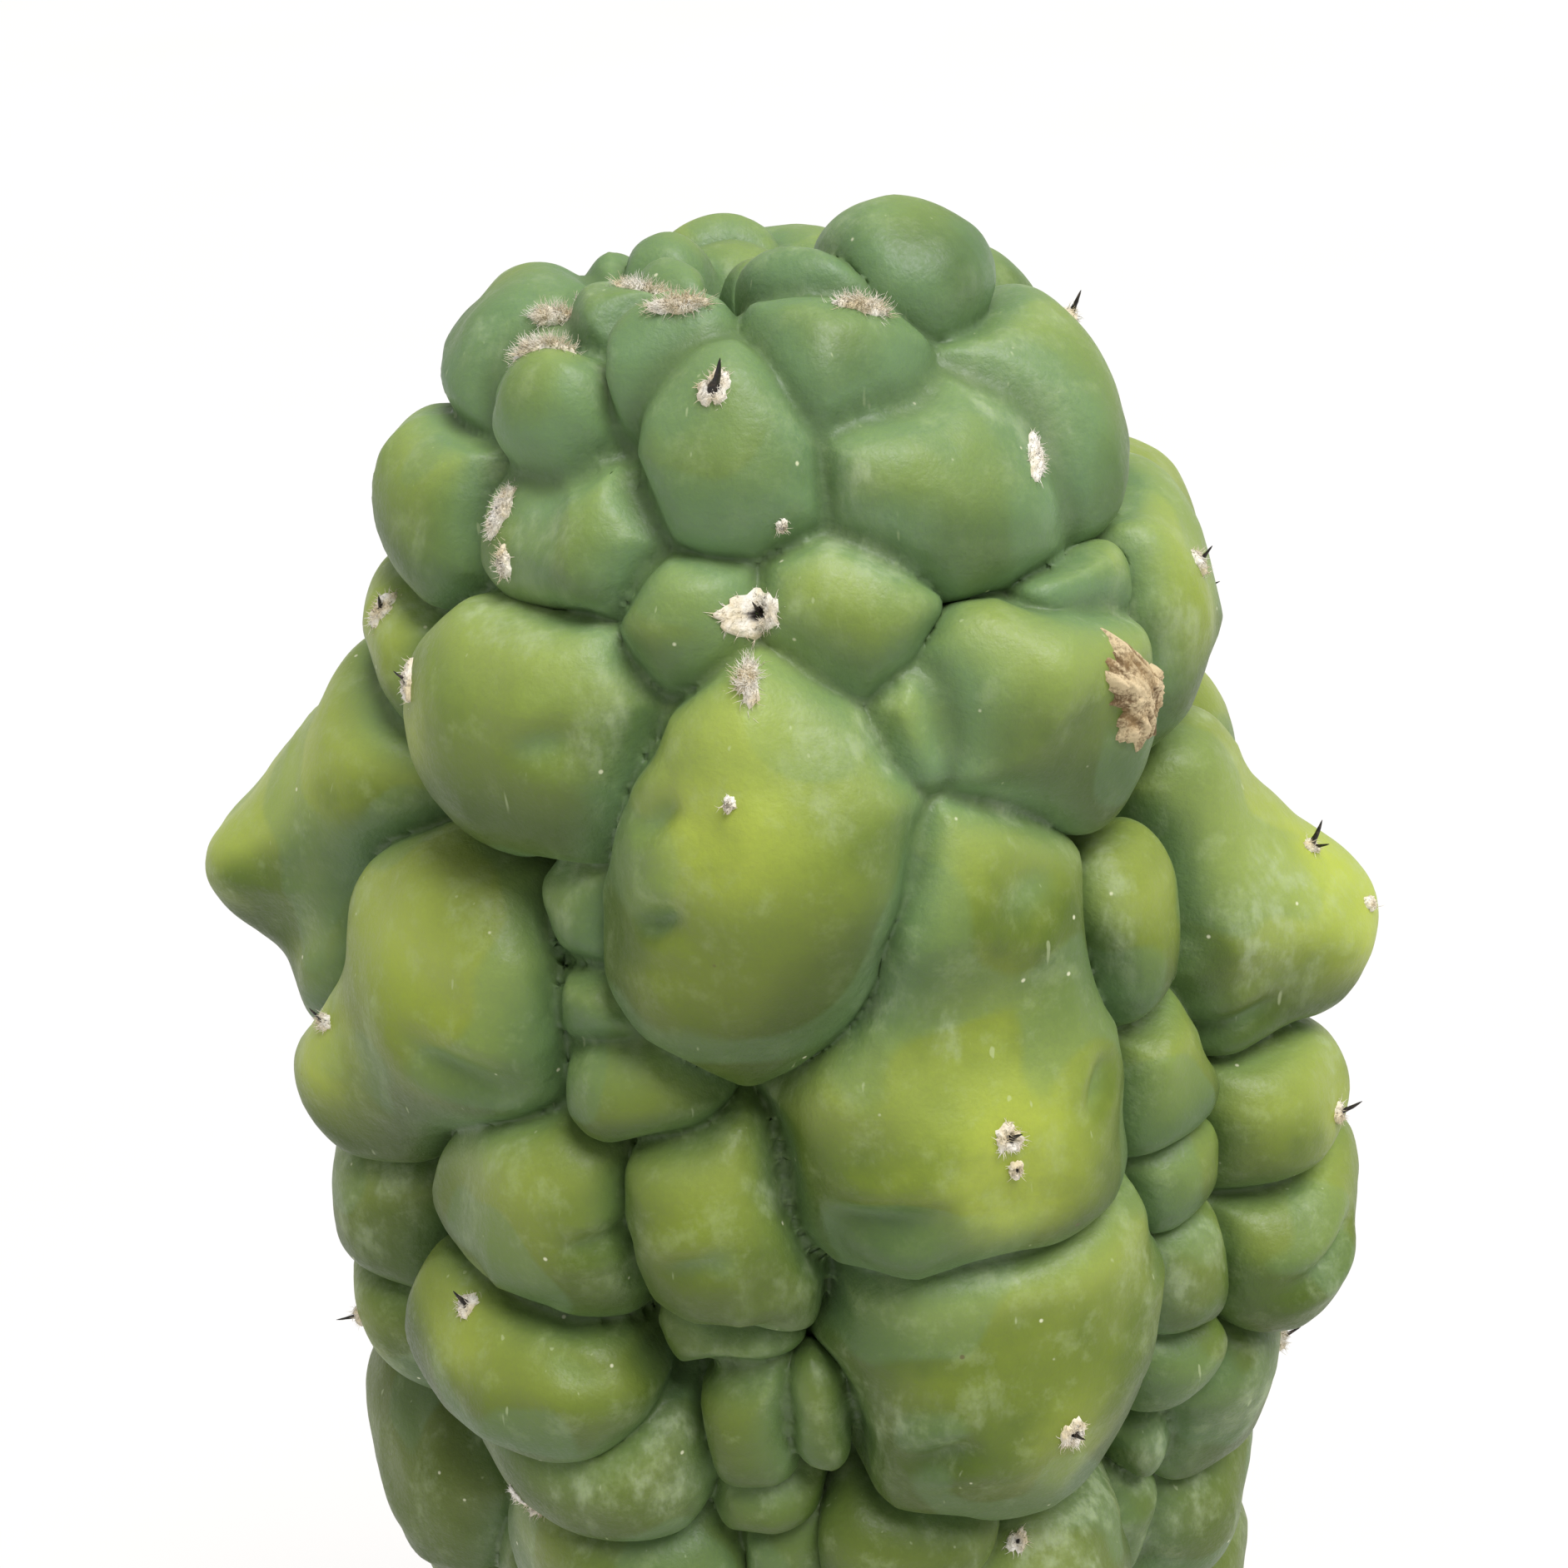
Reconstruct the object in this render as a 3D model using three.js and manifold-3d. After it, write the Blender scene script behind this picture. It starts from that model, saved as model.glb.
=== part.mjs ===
// A tall monstrose column cactus rooted in a plain clay flower pot.
// Millimetres, +Z up, the origin at the middle of the pot's underside, the front towards -Y.
import * as THREE from "three";
import { mergeVertices } from "three/addons/utils/BufferGeometryUtils.js";
import Module from "manifold-3d";

const wasm = await Module();
wasm.setup();

// ---- Sizes ----

// The pot: a thrown clay pot with a thick band at the rim and one drain hole.
const POT_HEIGHT = 210;
const POT_RIM_RADIUS = 120;
const POT_BASE_RADIUS = 75;
const POT_WALL = 9;
const POT_FLOOR = 12;
const RIM_BAND_HEIGHT = 40;
const RIM_BAND_PROUD = 5;
const RIM_ROUNDING = 3;
const DRAIN_HOLE_RADIUS = 12;

// The soil: filled to a little below the rim, so that the plant can be watered.
const HEADSPACE = 20;
const SOIL_MOUND = 3;

// The stem: a blunt column whose crests stand on a cylinder that narrows to the growing tip.
const STEM_LENGTH = 460;
const CREST_RADIUS = 71;
const CROWN_LENGTH = 130;
const CROWN_POWER = 0.27;
const FLESH_DEPTH = 11;
const LUMP_OVERLAP = 2.2;
const BURIED_LENGTH = 62;
const BURIED_TIP_RADIUS = 26;

// The wool pads (areoles) and the spines that grow from them.
const WOOL_THICKNESS = 2.4;
const CORK_THICKNESS = 4.5;
const SPINE_ROOT_SHARE = 0.34;

// A hair of space wherever one piece rests on another.
const SEAT_GAP = 0.3;

// Facets.
const POT_SIDES = 56;
const STEM_SIDES = 18;
const BIG_LUMP_SIDES = 8;
const SMALL_LUMP_SIDES = 6;
const BIG_LUMP_RINGS = [40, 80, 118];
const SMALL_LUMP_RINGS = [52, 104];

// ---- Levels that follow from the sizes ----

const SOIL_TOP = POT_HEIGHT - HEADSPACE;
const STEM_TOP = SOIL_TOP + STEM_LENGTH;
const RADIANS = Math.PI / 180;

// ---- Colours ----

const CLAY = { color: "#b5694a", roughness: 0.85, metalness: 0 };
const SOIL = { color: "#4f3f31", roughness: 0.95, metalness: 0 };
const FLESH = { color: "#7f9a52", roughness: 0.5, metalness: 0 };
const WOOL = { color: "#d8ccb0", roughness: 0.9, metalness: 0 };
const SPINE = { color: "#2e2723", roughness: 0.6, metalness: 0 };
const CORK = { color: "#b79a6c", roughness: 0.9, metalness: 0 };

// ---- The tubercles ----

// Azimuth is in degrees from the front, positive to the right. Down is below the stem's top.
// Half widths and half heights are on the skin. Proud lifts the tubercle off the crest line,
// and droop tips its face downwards. Each line is [azimuth, down, half width, half height,
// proud, droop].

// The crown: small young tubercles packed round the growing tip.
const CROWN = [
  [5, 0.02, 7, 7, -2, 0],
  [-95, 0.5, 6, 6, -2, 0],
  [-150, 0.6, 6, 6, -7, 0],
  [-60, 0.8, 6, 6, -1, 0],
  [-56, 2.6, 8, 7, 0, 0],
  [-100, 4, 8, 7, -2, 0],
  [-8, 2.6, 6, 5, -1.5, 0],
  [14, 1, 9, 8, 2, 0],
  [46, 1.2, 11.5, 10.5, 4.5, 0],
  [125, 8, 9, 8, -4, 0],
  [-160, 9, 9, 8, -4, 0],
  [-85, 10.5, 14.5, 12, 3, 0],
  [-68, 10, 10, 9, 1, 0],
  [-50, 13.5, 10, 9, 2, 5],
  [-24, 5.5, 10, 9.5, 1, 0],
  [11, 4.8, 12, 10, 2, 0],
  [51, 12.5, 15.5, 14, 0.5, 0],
  [140, 34, 10, 9, -7, 0],
  [-175, 18, 14, 12, -2, 0],
  [-128, 18, 15, 12, -3, 0],
];

// The left rib, whose third tubercle sticks out like a nose at the side.
const LEFT_RIBS = [
  [-42, 22, 15.5, 11, 0.5, 5],
  [-76, 27, 14, 13, 3, 5],
  [-80, 46, 13, 12, 1, 5],
  [-42, 45, 19, 17, 2, 10],
  [-83, 71, 16, 21, 3, 14],
  [-88, 87, 11, 12, 16, 26],
  [-80, 99, 12, 12, 4, 20],
  [-55, 86, 20, 23, 2, 8],
  [-69, 98.5, 13, 12, 7, 8],
  [-38, 103, 14.5, 17.5, -0.5, 0],
  [-38, 127, 16.5, 10, 2, 10],
  [-32, 140, 17, 13, -1, 5],
  [-70, 121, 14, 14, -1, 0],
  [-68, 143, 13, 12, -1, 0],
];

// The front rib, with the long drooping tubercle in its middle.
const FRONT_RIB = [
  [-12.5, 12.2, 11.5, 12, 1.5, 5],
  [-17, 27.5, 9, 9.5, -1, 0],
  [3, 28.5, 9.5, 10.5, -1, 3],
  [-7, 24, 6, 6, -3, 0],
  [-7, 57, 18, 23.5, 3, 12],
  [-7, 41, 5, 7, -1, 0],
];

// The right ribs.
const RIGHT_RIBS = [
  [26, 16, 16.5, 12.5, 1, 5],
  [58, 41, 15, 14, -2, 5],
  [41, 31, 9, 5, -1, 0],
  [31, 45, 18, 16, 2, 10],
  [18.5, 71, 14, 20, 0, 8],
  [16, 92, 20, 19, 3, 8],
  [15, 55, 8, 9, 0.5, 0],
  [69, 73, 11, 15, -1, 8],
  [74, 92.5, 11, 12, 10, 24],
  [66, 86, 11, 15, 1, 6],
  [66, 111, 13, 13, 5, 5],
  [65, 130.5, 15, 12, 7, 10],
  [58, 154, 14, 17, 1, 5],
  [21, 115, 19, 18, 1, 8],
  [20, 135, 17, 15, 0, 12],
  [8, 152, 11, 9, -2, 0],
];

// The chains of small tubercles in the two valleys at the front.
const VALLEYS = [
  [-32, 61, 6, 10, -5, 0],
  [-26, 41, 5, 5, -4, 0],
  [-28, 73, 7.5, 6, -4, 0],
  [-21, 81, 10, 9, -3, 0],
  [-15, 93, 9.5, 8.5, -4, 0],
  [-11, 105, 10, 9, -4, 0],
  [-13, 115, 8, 5, -6, 0],
  [-10, 127, 6.5, 10, -5, 0],
  [-2, 126, 4, 7, -5, 0],
  [-10, 143, 7, 7, -7, 0],
  [14, 41, 8, 9, 0.5, 0],
  [44, 73, 9, 11, -2, 0],
  [46, 92, 8, 10, -2.5, 0],
  [45, 106, 6.5, 6, -3.5, 0],
  [46, 121, 6, 8, -3.5, 0],
  [46, 139, 6, 7, -4, 0],
  [46, 155, 5, 6, -5, 0],
];

// The rest of the stem repeats the same growth: eight ribs, with a chain of small tubercles
// in each valley between them. A rib that the lists above have already begun starts lower.
const RIB_AZIMUTHS = [-33, 18, 63, 120, 152, 196, 242, 289];
const RIB_STARTS = [168, 168, 180, 56, 38, 34, 38, 174];
const RIB_ROWS = [7, 7, 7, 10, 11, 11, 11, 7];
const RIB_HALF_WIDTH = 19;
const RIB_DROOP = 8;
const VALLEY_AZIMUTHS = [-8, 42, 85, 130, 174, 219, 264, 310];
const VALLEY_STARTS = [160, 172, 52, 46, 48, 45, 52, 150];
const VALLEY_ROWS = [8, 8, 11, 11, 11, 11, 11, 8];
const VALLEY_HALF_WIDTH = 8.5;
const VALLEY_SET_BACK = 6;

// A repeatable scatter between -1 and 1: the same number always gives the same value.
function scatter(number) {
  const wave = Math.sin(number * 12.9898 + 4.1414) * 43758.5453;
  return 2 * (wave - Math.floor(wave)) - 1;
}

// The distance of the crests from the axis.
function crestRadius(down) {
  const share = Math.min(1, Math.max(down, 0.02) / CROWN_LENGTH);
  return CREST_RADIUS * Math.pow(share, CROWN_POWER);
}

// How far the skin leans back from upright, in radians: nothing on the column, a lot on the crown.
function crestLean(down) {
  if (down >= CROWN_LENGTH) return 0;
  const below = Math.max(down, 0.02);
  return Math.atan((CROWN_POWER * crestRadius(below)) / below);
}

// Where each tubercle of a chain sits, and how much of the chain is its own. A longer stem
// spreads the same number of tubercles further apart.
function chain(start, rows) {
  const pitch = (STEM_LENGTH + 12 - start) / rows;
  const places = [];
  for (let row = 0; row < rows; row += 1) {
    const share = row / rows;
    const own = pitch * Math.max(0.72, 1.12 * Math.pow(share, 0.12));
    places.push([start + pitch * rows * Math.pow(share, 1.12), own]);
  }
  return places;
}

// The tubercles of the plain part of the stem, down to the soil.
function plainTubercles() {
  const made = [];
  let count = 0;
  RIB_AZIMUTHS.forEach((azimuth, rib) => {
    for (const [down, own] of chain(RIB_STARTS[rib], RIB_ROWS[rib])) {
      count += 1;
      const nearTip = Math.min(1, crestRadius(down) / CREST_RADIUS + 0.04);
      made.push([
        azimuth + 4 * scatter(count + 300),
        down,
        RIB_HALF_WIDTH * nearTip * (1 + 0.1 * scatter(count + 600)),
        0.52 * own * (1 + 0.12 * scatter(count)),
        2.5 * scatter(count + 900),
        RIB_DROOP,
      ]);
    }
  });
  VALLEY_AZIMUTHS.forEach((azimuth, valley) => {
    for (const [down, own] of chain(VALLEY_STARTS[valley], VALLEY_ROWS[valley])) {
      count += 1;
      made.push([
        azimuth + 2.5 * scatter(count + 300),
        down,
        VALLEY_HALF_WIDTH * (1 + 0.15 * scatter(count + 600)),
        0.5 * own * (1 + 0.2 * scatter(count)),
        -VALLEY_SET_BACK + 1.5 * scatter(count + 900),
        0,
      ]);
    }
  });
  return made;
}

// ---- Helpers that turn outlines into closed solids ----

function solidOf(geometry) {
  const bare = geometry.clone();
  bare.deleteAttribute("normal");
  bare.deleteAttribute("uv");
  const merged = mergeVertices(bare, 1e-4);
  return new wasm.Manifold(
    new wasm.Mesh({
      numProp: 3,
      vertProperties: new Float32Array(merged.attributes.position.array),
      triVerts: new Uint32Array(merged.index.array),
    }),
  );
}

function geometryOf(solid) {
  const mesh = solid.getMesh();
  const geometry = new THREE.BufferGeometry();
  geometry.setAttribute("position", new THREE.BufferAttribute(mesh.vertProperties, 3));
  geometry.setIndex(new THREE.BufferAttribute(mesh.triVerts, 1));
  const flat = geometry.toNonIndexed();
  flat.computeVertexNormals();
  return flat;
}

// A profile of [radius, height] points, listed anticlockwise, turned round the Z axis.
function turned(profile, sides) {
  const points = profile.map(([radius, height]) => new THREE.Vector2(radius, height));
  const geometry = new THREE.LatheGeometry(points, sides);
  geometry.rotateX(Math.PI / 2);
  return solidOf(geometry);
}

// The frame of a spot on the skin: where it is, and its outward, sideways and upward directions.
function skinFrame(azimuth, down, proud, droop) {
  const angle = azimuth * RADIANS;
  const lean = crestLean(down);
  const radius = crestRadius(down);
  const side = new THREE.Vector3(Math.cos(angle), Math.sin(angle), 0);
  const away = new THREE.Vector3(Math.sin(angle), -Math.cos(angle), 0);
  const sky = new THREE.Vector3(0, 0, 1);
  const out = away.clone().multiplyScalar(Math.cos(lean));
  out.addScaledVector(sky, Math.sin(lean));
  const spot = away.clone().multiplyScalar(radius);
  spot.z = STEM_TOP - down;
  spot.addScaledVector(out, proud);
  const tip = -droop * RADIANS;
  const up = new THREE.Vector3().crossVectors(out, side);
  const face = out.clone().multiplyScalar(Math.cos(tip)).addScaledVector(up, Math.sin(tip));
  const rise = up.clone().multiplyScalar(Math.cos(tip)).addScaledVector(out, -Math.sin(tip));
  return { spot, out: face, side, up: rise };
}

// One tubercle: a dome whose round top is on the skin and whose foot is deep in the flesh.
function tubercle([azimuth, down, halfWidth, halfHeight, proud, droop], big) {
  const sides = big ? BIG_LUMP_SIDES : SMALL_LUMP_SIDES;
  const rings = big ? BIG_LUMP_RINGS : SMALL_LUMP_RINGS;
  const bulge = Math.max(7, 0.95 * Math.min(halfWidth, halfHeight) + 3) + Math.max(0, proud);
  const frame = skinFrame(azimuth, down, proud, droop);
  const centre = frame.spot.clone().addScaledVector(frame.out, -bulge);
  const points = [];
  const place = (across, along, outward) => {
    const point = centre.clone();
    point.addScaledVector(frame.side, across * (halfWidth + LUMP_OVERLAP));
    point.addScaledVector(frame.up, along * (halfHeight + LUMP_OVERLAP));
    point.addScaledVector(frame.out, outward * bulge);
    points.push(point.x, point.y, point.z);
  };
  place(0, 0, 1);
  rings.forEach((polar, ring) => {
    for (let step = 0; step < sides; step += 1) {
      const turn = (2 * Math.PI * (step + 0.5 * (ring % 2))) / sides;
      const wide = Math.sin(polar * RADIANS);
      place(wide * Math.cos(turn), wide * Math.sin(turn), Math.cos(polar * RADIANS));
    }
  });
  place(0, 0, Math.cos(rings[rings.length - 1] * RADIANS));
  const faces = [];
  const last = points.length / 3 - 1;
  const at = (ring, step) => 1 + ring * sides + (step % sides);
  for (let step = 0; step < sides; step += 1) {
    faces.push(0, at(0, step), at(0, step + 1));
    for (let ring = 0; ring + 1 < rings.length; ring += 1) {
      const shift = ring % 2;
      const upper = [at(ring, step), at(ring, step + 1)];
      const lower = [at(ring + 1, step), at(ring + 1, step + 1)];
      if (shift === 0) {
        faces.push(upper[0], lower[0], upper[1]);
        faces.push(upper[1], lower[0], lower[1]);
      } else {
        faces.push(upper[0], lower[0], lower[1]);
        faces.push(upper[0], lower[1], upper[1]);
      }
    }
    faces.push(at(rings.length - 1, step + 1), at(rings.length - 1, step), last);
  }
  return new wasm.Manifold(
    new wasm.Mesh({
      numProp: 3,
      vertProperties: new Float32Array(points),
      triVerts: new Uint32Array(faces),
    }),
  );
}

const part = new THREE.Group();
part.name = "potted_tall_cactus";

function add(name, solid, finish) {
  const mesh = new THREE.Mesh(geometryOf(solid), new THREE.MeshStandardMaterial(finish));
  mesh.name = name;
  part.add(mesh);
  return mesh;
}

// ---- The pot ----

function outerWall(height) {
  const top = POT_RIM_RADIUS - RIM_BAND_PROUD;
  return POT_BASE_RADIUS + ((top - POT_BASE_RADIUS) * height) / POT_HEIGHT;
}

function innerWall(height) {
  return outerWall(height) - POT_WALL;
}

const bandFoot = POT_HEIGHT - RIM_BAND_HEIGHT;
const potSolid = turned(
  [
    [DRAIN_HOLE_RADIUS, 0],
    [POT_BASE_RADIUS - 2, 0],
    [POT_BASE_RADIUS, 2],
    [outerWall(bandFoot), bandFoot],
    [outerWall(bandFoot) + RIM_BAND_PROUD - 1, bandFoot + 1],
    [outerWall(bandFoot) + RIM_BAND_PROUD, bandFoot + RIM_ROUNDING],
    [POT_RIM_RADIUS, POT_HEIGHT - RIM_ROUNDING],
    [POT_RIM_RADIUS - 1, POT_HEIGHT - 1],
    [POT_RIM_RADIUS - RIM_ROUNDING, POT_HEIGHT],
    [innerWall(POT_HEIGHT) + RIM_ROUNDING, POT_HEIGHT],
    [innerWall(POT_HEIGHT), POT_HEIGHT - RIM_ROUNDING],
    [innerWall(POT_FLOOR), POT_FLOOR],
    [DRAIN_HOLE_RADIUS, POT_FLOOR],
    [DRAIN_HOLE_RADIUS, 0],
  ],
  POT_SIDES,
);
add("clay_pot", potSolid, CLAY);

// ---- The stem's plain middle and its buried foot ----

function middleRadius(down) {
  const depth = FLESH_DEPTH * Math.min(1, 0.35 + down / 60);
  return Math.max(0, crestRadius(down) - depth);
}

const columnRadius = CREST_RADIUS - FLESH_DEPTH;
const buriedTip = SOIL_TOP - BURIED_LENGTH;
const middleProfile = [
  [0, buriedTip],
  [BURIED_TIP_RADIUS, buriedTip + 3],
  [0.5 * (BURIED_TIP_RADIUS + columnRadius), buriedTip + 14],
  [columnRadius, buriedTip + 38],
];
for (const down of [CROWN_LENGTH, 60, 24, 7]) {
  middleProfile.push([middleRadius(down), STEM_TOP - down]);
}
middleProfile.push([0, STEM_TOP - 4]);

// ---- The soil, with a socket for the buried foot ----

function soilFill(grow) {
  const side = -SEAT_GAP + grow;
  return turned(
    [
      [0, POT_FLOOR + SEAT_GAP],
      [innerWall(POT_FLOOR) + side, POT_FLOOR + SEAT_GAP],
      [innerWall(SOIL_TOP) + side, SOIL_TOP + grow],
      [0.5 * (innerWall(SOIL_TOP) + columnRadius), SOIL_TOP + 0.6 * SOIL_MOUND + grow],
      [columnRadius, SOIL_TOP + SOIL_MOUND + grow],
      [0, SOIL_TOP + SOIL_MOUND + grow],
    ],
    POT_SIDES,
  );
}

const middleSolid = turned(middleProfile, STEM_SIDES);
const socket = turned(
  middleProfile.map(([radius, height], place) => [
    radius === 0 ? 0 : radius + SEAT_GAP,
    place === 0 ? height - SEAT_GAP : height,
  ]),
  STEM_SIDES,
);
const soilSolid = soilFill(0).subtract(socket);
add("potting_soil", soilSolid, SOIL);

// ---- The stem ----

const SMALL_LIMIT = 9.6;
const tubercles = [
  ...CROWN,
  ...LEFT_RIBS,
  ...FRONT_RIB,
  ...RIGHT_RIBS,
  ...VALLEYS,
  ...plainTubercles(),
];
const domes = tubercles.map((entry) => tubercle(entry, Math.min(entry[2], entry[3]) > SMALL_LIMIT));
const lumpySolid = wasm.Manifold.union(domes).subtract(soilFill(SEAT_GAP));
const aboveSoil = lumpySolid.decompose().sort((one, two) => two.volume() - one.volume())[0];
const stemSolid = middleSolid.add(aboveSoil);
const stemMesh = add("stem", stemSolid, FLESH);

// ---- The areoles: pads of felted wool, the spines that stand in them, and old cork scars ----

stemMesh.updateMatrixWorld(true);
const probe = new THREE.Raycaster();

// Where a line drawn inwards to a spot on the skin meets the stem, and which way the skin faces.
function seatAt(azimuth, down) {
  const frame = skinFrame(azimuth, down, 0, 0);
  const start = frame.spot.clone().addScaledVector(frame.out, 60);
  probe.set(start, frame.out.clone().negate());
  const hit = probe.intersectObject(stemMesh, false)[0];
  const normal = hit.face.normal.clone().normalize();
  const up = frame.up.clone().addScaledVector(normal, -frame.up.dot(normal)).normalize();
  const side = new THREE.Vector3().crossVectors(up, normal).normalize();
  return { point: hit.point, normal, up, side };
}

function shifted(solid, direction, distance) {
  return solid.translate(
    direction.x * distance,
    direction.y * distance,
    direction.z * distance,
  );
}

function placed(geometry, seat, turn, lift) {
  const basis = new THREE.Matrix4().makeBasis(seat.side, seat.up, seat.normal);
  const spin = new THREE.Matrix4().makeRotationZ(turn * RADIANS);
  const spot = seat.point.clone().addScaledVector(seat.normal, lift);
  const where = new THREE.Matrix4().setPosition(spot).multiply(basis).multiply(spin);
  return solidOf(geometry.clone().applyMatrix4(where));
}

// Cuts a piece back to rest on another, a hair clear of it on every side.
function rested(piece, under, seat) {
  let cut = piece.subtract(shifted(under, seat.normal, SEAT_GAP));
  for (const direction of [seat.side, seat.up]) {
    cut = cut.subtract(shifted(under, direction, 0.5 * SEAT_GAP));
    cut = cut.subtract(shifted(under, direction, -0.5 * SEAT_GAP));
  }
  const bodies = cut.decompose().sort((one, two) => two.volume() - one.volume());
  return bodies[0];
}

const padShape = new THREE.SphereGeometry(1, 10, 6);
padShape.rotateX(Math.PI / 2);
const spineShape = new THREE.ConeGeometry(1, 1, 8);
spineShape.rotateX(Math.PI / 2);
spineShape.translate(0, 0, 0.5);

function pad(seat, long, wide, turn, thickness) {
  const shape = padShape.clone().scale(0.5 * wide, 0.5 * long, 0.5 * thickness);
  return rested(placed(shape, seat, turn, 0.1 * thickness), stemSolid, seat);
}

function spine(seat, length, order, padSolid) {
  const root = Math.max(0.5, 0.5 * SPINE_ROOT_SHARE * length);
  const shape = spineShape.clone().scale(root, root, length);
  shape.rotateY((order === 0 ? 12 : -38) * RADIANS);
  shape.rotateZ(order * 100 * RADIANS);
  shape.translate(order === 0 ? -0.15 * root : 1.5 * root, 0, 0);
  return rested(placed(shape, seat, 0, 0.45 * WOOL_THICKNESS), padSolid.add(stemSolid), seat);
}

// [azimuth, down, pad length, pad width, turn of the pad, lengths of its spines]
const AREOLES = [
  [-13, 9, 4.6, 3.6, 10, [3.6]],
  [-3, 19, 1.8, 1.6, 0, []],
  [-6, 27, 6.6, 6.4, 0, [2.2]],
  [-7, 33, 6, 2.6, 0, []],
  [39, 17, 6.6, 2.8, 38, []],
  [-50, 22, 7, 2.8, 8, []],
  [-46, 26.5, 4.4, 2.2, -10, []],
  [-55.5, 42, 5, 3.8, -20, [1.6]],
  [-8.5, 44, 1.9, 1.7, 0, []],
  [17.5, 84, 4, 3.6, 0, [1.8]],
  [18, 88, 2.4, 2.2, 0, []],
  [22, 125, 5, 3.6, 0, [2.4]],
  [-35, 150, 5.6, 3.6, 15, []],
  [-42, 118, 3.6, 2.8, 0, [2.6]],
  [-65, 90.5, 3.6, 2.4, 60, [2]],
  [73, 86, 2.6, 2.4, 0, []],
  [72.5, 77, 2.6, 2.2, 0, [3.2, 2.4]],
  [79, 9, 2.6, 2.2, 0, [2.6]],
  [63, 35, 3.4, 2.2, 0, [2]],
  [65, 111, 3.4, 2.4, 0, [3]],
  [62, 148.5, 4.4, 2.6, 0, [2.6]],
  [-73, 40, 5, 3, 0, [2.4]],
  [-66, 141, 3, 2.4, 0, [2.8]],
  [20, 152, 3.6, 2.8, 20, []],
  [-50, 1.4, 8, 5.5, 70, []],
  [-68, 5, 6, 3.4, 80, []],
  [-50, 8, 7, 3, 75, []],
  [-25, 3.6, 6.4, 3.4, 80, []],
  [15, 3.6, 6.6, 3, 95, []],
  [110, 60, 3.8, 3.2, 0, [2.4]],
  [152, 34, 3.8, 3.2, 0, [2.2]],
  [-164, 66, 4, 3.4, 0, [2.4]],
  [-120, 44, 3.8, 3, 0, [2]],
];

let spineCount = 0;
AREOLES.forEach(([azimuth, down, long, wide, turn, lengths], place) => {
  const seat = seatAt(azimuth, down);
  const padSolid = pad(seat, long, wide, turn, WOOL_THICKNESS);
  add(`wool_pad_${String(place + 1).padStart(2, "0")}`, padSolid, WOOL);
  lengths.forEach((length, order) => {
    spineCount += 1;
    const name = `spine_${String(spineCount).padStart(2, "0")}`;
    add(name, spine(seat, length, order, padSolid), SPINE);
  });
});

// [azimuth, down, scar length, scar width, turn of the scar]
const CORK_SCARS = [
  [41, 40, 15, 9, 32],
  [-66.5, 99.5, 5, 3, 60],
];
CORK_SCARS.forEach(([azimuth, down, long, wide, turn], place) => {
  const seat = seatAt(azimuth, down);
  add(`cork_scar_${place + 1}`, pad(seat, long, wide, turn, CORK_THICKNESS), CORK);
});


export default part;
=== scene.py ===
# %% [markdown]
# # A tall lumpy column cactus in a clay pot
# The plant is a stout column cactus of the monstrose kind: its ribs have broken up into fat
# tubercles that press against each other, with a few pads of wool and very few spines. It
# stands in gritty soil in a plain clay flower pot. Everything here is in metres, in the same
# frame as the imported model: Z up, the front towards -Y, the ground at zero.

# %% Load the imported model
import math

import bmesh
import bpy
import numpy as np
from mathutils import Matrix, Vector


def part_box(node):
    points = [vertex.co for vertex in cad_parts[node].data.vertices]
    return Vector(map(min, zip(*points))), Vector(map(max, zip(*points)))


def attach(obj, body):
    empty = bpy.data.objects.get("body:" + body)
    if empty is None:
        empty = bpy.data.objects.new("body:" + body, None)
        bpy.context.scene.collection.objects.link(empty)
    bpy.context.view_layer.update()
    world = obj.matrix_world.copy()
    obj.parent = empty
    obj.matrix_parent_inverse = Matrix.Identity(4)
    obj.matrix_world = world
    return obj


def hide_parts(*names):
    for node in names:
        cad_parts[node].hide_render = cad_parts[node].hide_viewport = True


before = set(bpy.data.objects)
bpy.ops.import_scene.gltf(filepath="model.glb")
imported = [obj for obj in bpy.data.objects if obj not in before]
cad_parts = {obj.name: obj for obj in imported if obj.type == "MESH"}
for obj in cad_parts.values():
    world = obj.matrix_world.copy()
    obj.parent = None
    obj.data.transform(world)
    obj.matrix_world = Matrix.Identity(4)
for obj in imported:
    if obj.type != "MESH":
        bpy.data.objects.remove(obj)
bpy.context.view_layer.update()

import openvdb
from mathutils import Matrix, Vector
from mathutils.bvhtree import BVHTree

MM = 0.001
print("packed nodes:", len(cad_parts))

# %% [markdown]
# ## Sizes
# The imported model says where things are. The height of the pot's rim is read from it: the soil
# stops a little below the rim, and the stem stands in the soil. Every tubercle is then placed
# by its azimuth and by how far down it is from the tip, as a botanist would note them. They sit
# on a crest line, the outline of a column with a blunt, rounded crown, which one power curve
# gives. Lengths here are in millimetres, because tubercles are, and they become metres when a
# mesh is made.

# %% The levels and the crest line
HEADSPACE, STEM_LENGTH = 20.0, 460.0
POT_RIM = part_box("clay_pot")[1].z / MM
SOIL_TOP = POT_RIM - HEADSPACE
STEM_TOP = SOIL_TOP + STEM_LENGTH
CREST_RADIUS = 71.0
CROWN_LENGTH, CROWN_POWER = 130.0, 0.27
VERY_TIP = 0.02


def crest_radius(down):
    """How far the crest line stands from the axis, at a distance down from the tip."""
    share = np.clip(np.maximum(down, VERY_TIP) / CROWN_LENGTH, 0.0, 1.0)
    return CREST_RADIUS * share ** CROWN_POWER


def crest_lean(down):
    """How far the crest line leans in from the upright there, in radians."""
    below = max(down, VERY_TIP)
    if below >= CROWN_LENGTH:
        return 0.0
    return math.atan(CROWN_POWER * float(crest_radius(below)) / below)


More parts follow.
